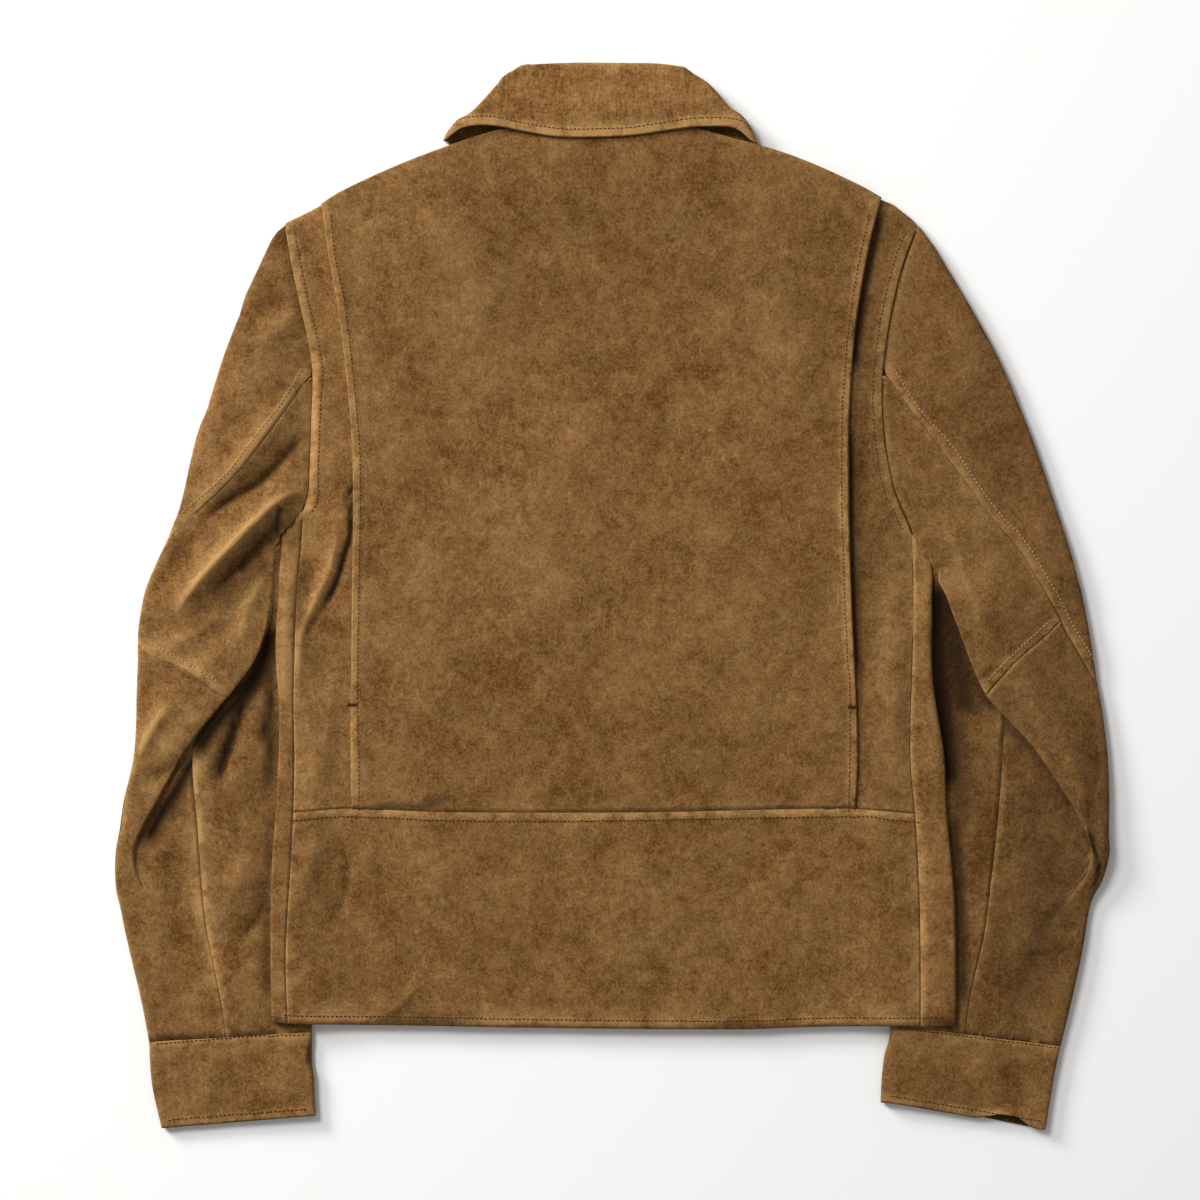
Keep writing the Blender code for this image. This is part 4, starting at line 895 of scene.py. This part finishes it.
# rows: thread, the seam's line, how far beside it, first and last share of its length
rows = [
    ("dark", "hem", 6.3, 0.02, 0.98), ("dark", "waist", -6.0, 0.0, 1.0), ("brown", "collar", 6.3, 0.0, 1.0),
    ("brown", "pleatLeft", -5.2, 0.0, 0.985), ("brown", "pleatRight", 5.2, 0.0, 0.985),
    ("brown", "armLeft", -6.6, 0.0, 0.97), ("brown", "armRight", 6.6, 0.0, 0.97),
    ("tan", "diagonalLeft", -6.6, 0.02, 0.95), ("tan", "diagonalRight", 6.6, 0.02, 0.97),
    ("tan", "elbowLeft", 6.4, 0.06, 0.96), ("tan", "elbowRight", 6.4, 0.04, 0.9),
    ("dark", "cuffTopLeft", -1.9, 0.03, 0.97), ("dark", "cuffTopRight", -1.9, 0.03, 0.97),
    ("dark", "cuffEndLeft", 5.6, 0.03, 0.97), ("dark", "cuffEndRight", 5.6, 0.03, 0.97),
]
threadColours = {"dark": (0.052, 0.018, 0.006), "brown": (0.105, 0.046, 0.015), "tan": (0.42, 0.25, 0.10)}
bars = {name: bmesh.new() for name in threadColours}
for k, (colour, name, beside, first, last) in enumerate(rows):
    line = offsetLine(seams[name], beside)
    start, end = [int(round(share * (len(line) - 1))) for share in (first, last)]
    stitchRow(bars[colour], line[start:end + 1], seamStitch, k)

# bar tacks where the pleats are sewn shut, from x to x at a y: short stitches across with two along over them
tacks = [(-193.0, -186.5, -78.5), (171.5, 178.5, -80.0)]
tackForm = {"count": 9, "half": 1.2, "lean": 0.3, "firstSeed": 50, "overSeed": 60}
for x0, x1, y0 in tacks:
    for k, x in enumerate(np.linspace(x0, x1, tackForm["count"])):
        across = [(x, y0 - tackForm["half"]), (x + tackForm["lean"], y0 + tackForm["half"])]
        stitchRow(bars["dark"], across, acrossTack, tackForm["firstSeed"] + k)
    stitchRow(bars["dark"], [(x0, y0), (x1, y0)], alongTack, tackForm["overSeed"])


def plainMaterial(name, colour, looks):
    g = Graph(name)
    for key, value in {"Base Color": (*colour, 1), **looks}.items():
        g.plug(g.shader.inputs[key], value)
    return g.material


def objectFrom(b, name, material):
    mesh = bpy.data.meshes.new(name)
    b.to_mesh(mesh)
    b.free()
    mesh.materials.append(material)
    o = bpy.data.objects.new(name, mesh)
    bpy.context.scene.collection.objects.link(o)
    return o


threadLooks = {"Roughness": 0.9, "Specular IOR Level": 0.1}
for name, b in bars.items():
    o = objectFrom(b, "thread_" + name, plainMaterial("thread_" + name, threadColours[name], threadLooks))
    o.data.shade_smooth()
    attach(o, "root")
    print("thread", name, len(o.data.polygons))

# the floor, the lights and the camera, in metres
floorForm = {"half": 4.0, "below": 0.0002, "colour": (0.86, 0.86, 0.86), "looks": {"Roughness": 0.9}}
b = bmesh.new()
bmesh.ops.create_grid(b, x_segments=1, y_segments=1, size=floorForm["half"])
floor = objectFrom(b, "floor", plainMaterial("floor", floorForm["colour"], floorForm["looks"]))
floor.location.z = -floorForm["below"]

softboxes = {"key": {"place": (-3.2, 2.9, 3.9), "size": (1.9, 1.9), "power": 240},
             "rake": {"place": (-3.6, 2.7, 1.5), "size": (1.6, 1.0), "power": 262}}
lightTint = (1.0, 0.985, 0.96)
skyStrength = 0.34
for name, form in softboxes.items():
    light = bpy.data.lights.new(name, "AREA")
    light.shape = "RECTANGLE"
    light.size, light.size_y = form["size"]
    light.energy = form["power"]
    light.color = lightTint
    lamp = bpy.data.objects.new(name, light)
    lamp.location = form["place"]
    lamp.rotation_euler = (-Vector(form["place"])).to_track_quat("-Z", "Y").to_euler()
    bpy.context.scene.collection.objects.link(lamp)

world = bpy.data.worlds.new("studio")
world.use_nodes = True
sky = world.node_tree.nodes["Background"]
sky.inputs["Color"].default_value = (1, 1, 1, 1)
sky.inputs["Strength"].default_value = skyStrength
bpy.context.scene.world = world
bpy.context.scene.view_settings.view_transform = "Standard"

cameraForm = {"place": (-0.0091, -0.0023, 2.4), "sensor": 36, "across": 0.876}
camera = bpy.data.cameras.new("camera")
camera.sensor_width = cameraForm["sensor"]
camera.lens = cameraForm["sensor"] * cameraForm["place"][2] / cameraForm["across"]
cameraObject = bpy.data.objects.new("camera", camera)
cameraObject.location = cameraForm["place"]
bpy.context.scene.collection.objects.link(cameraObject)
bpy.context.scene.camera = cameraObject
print("stage")
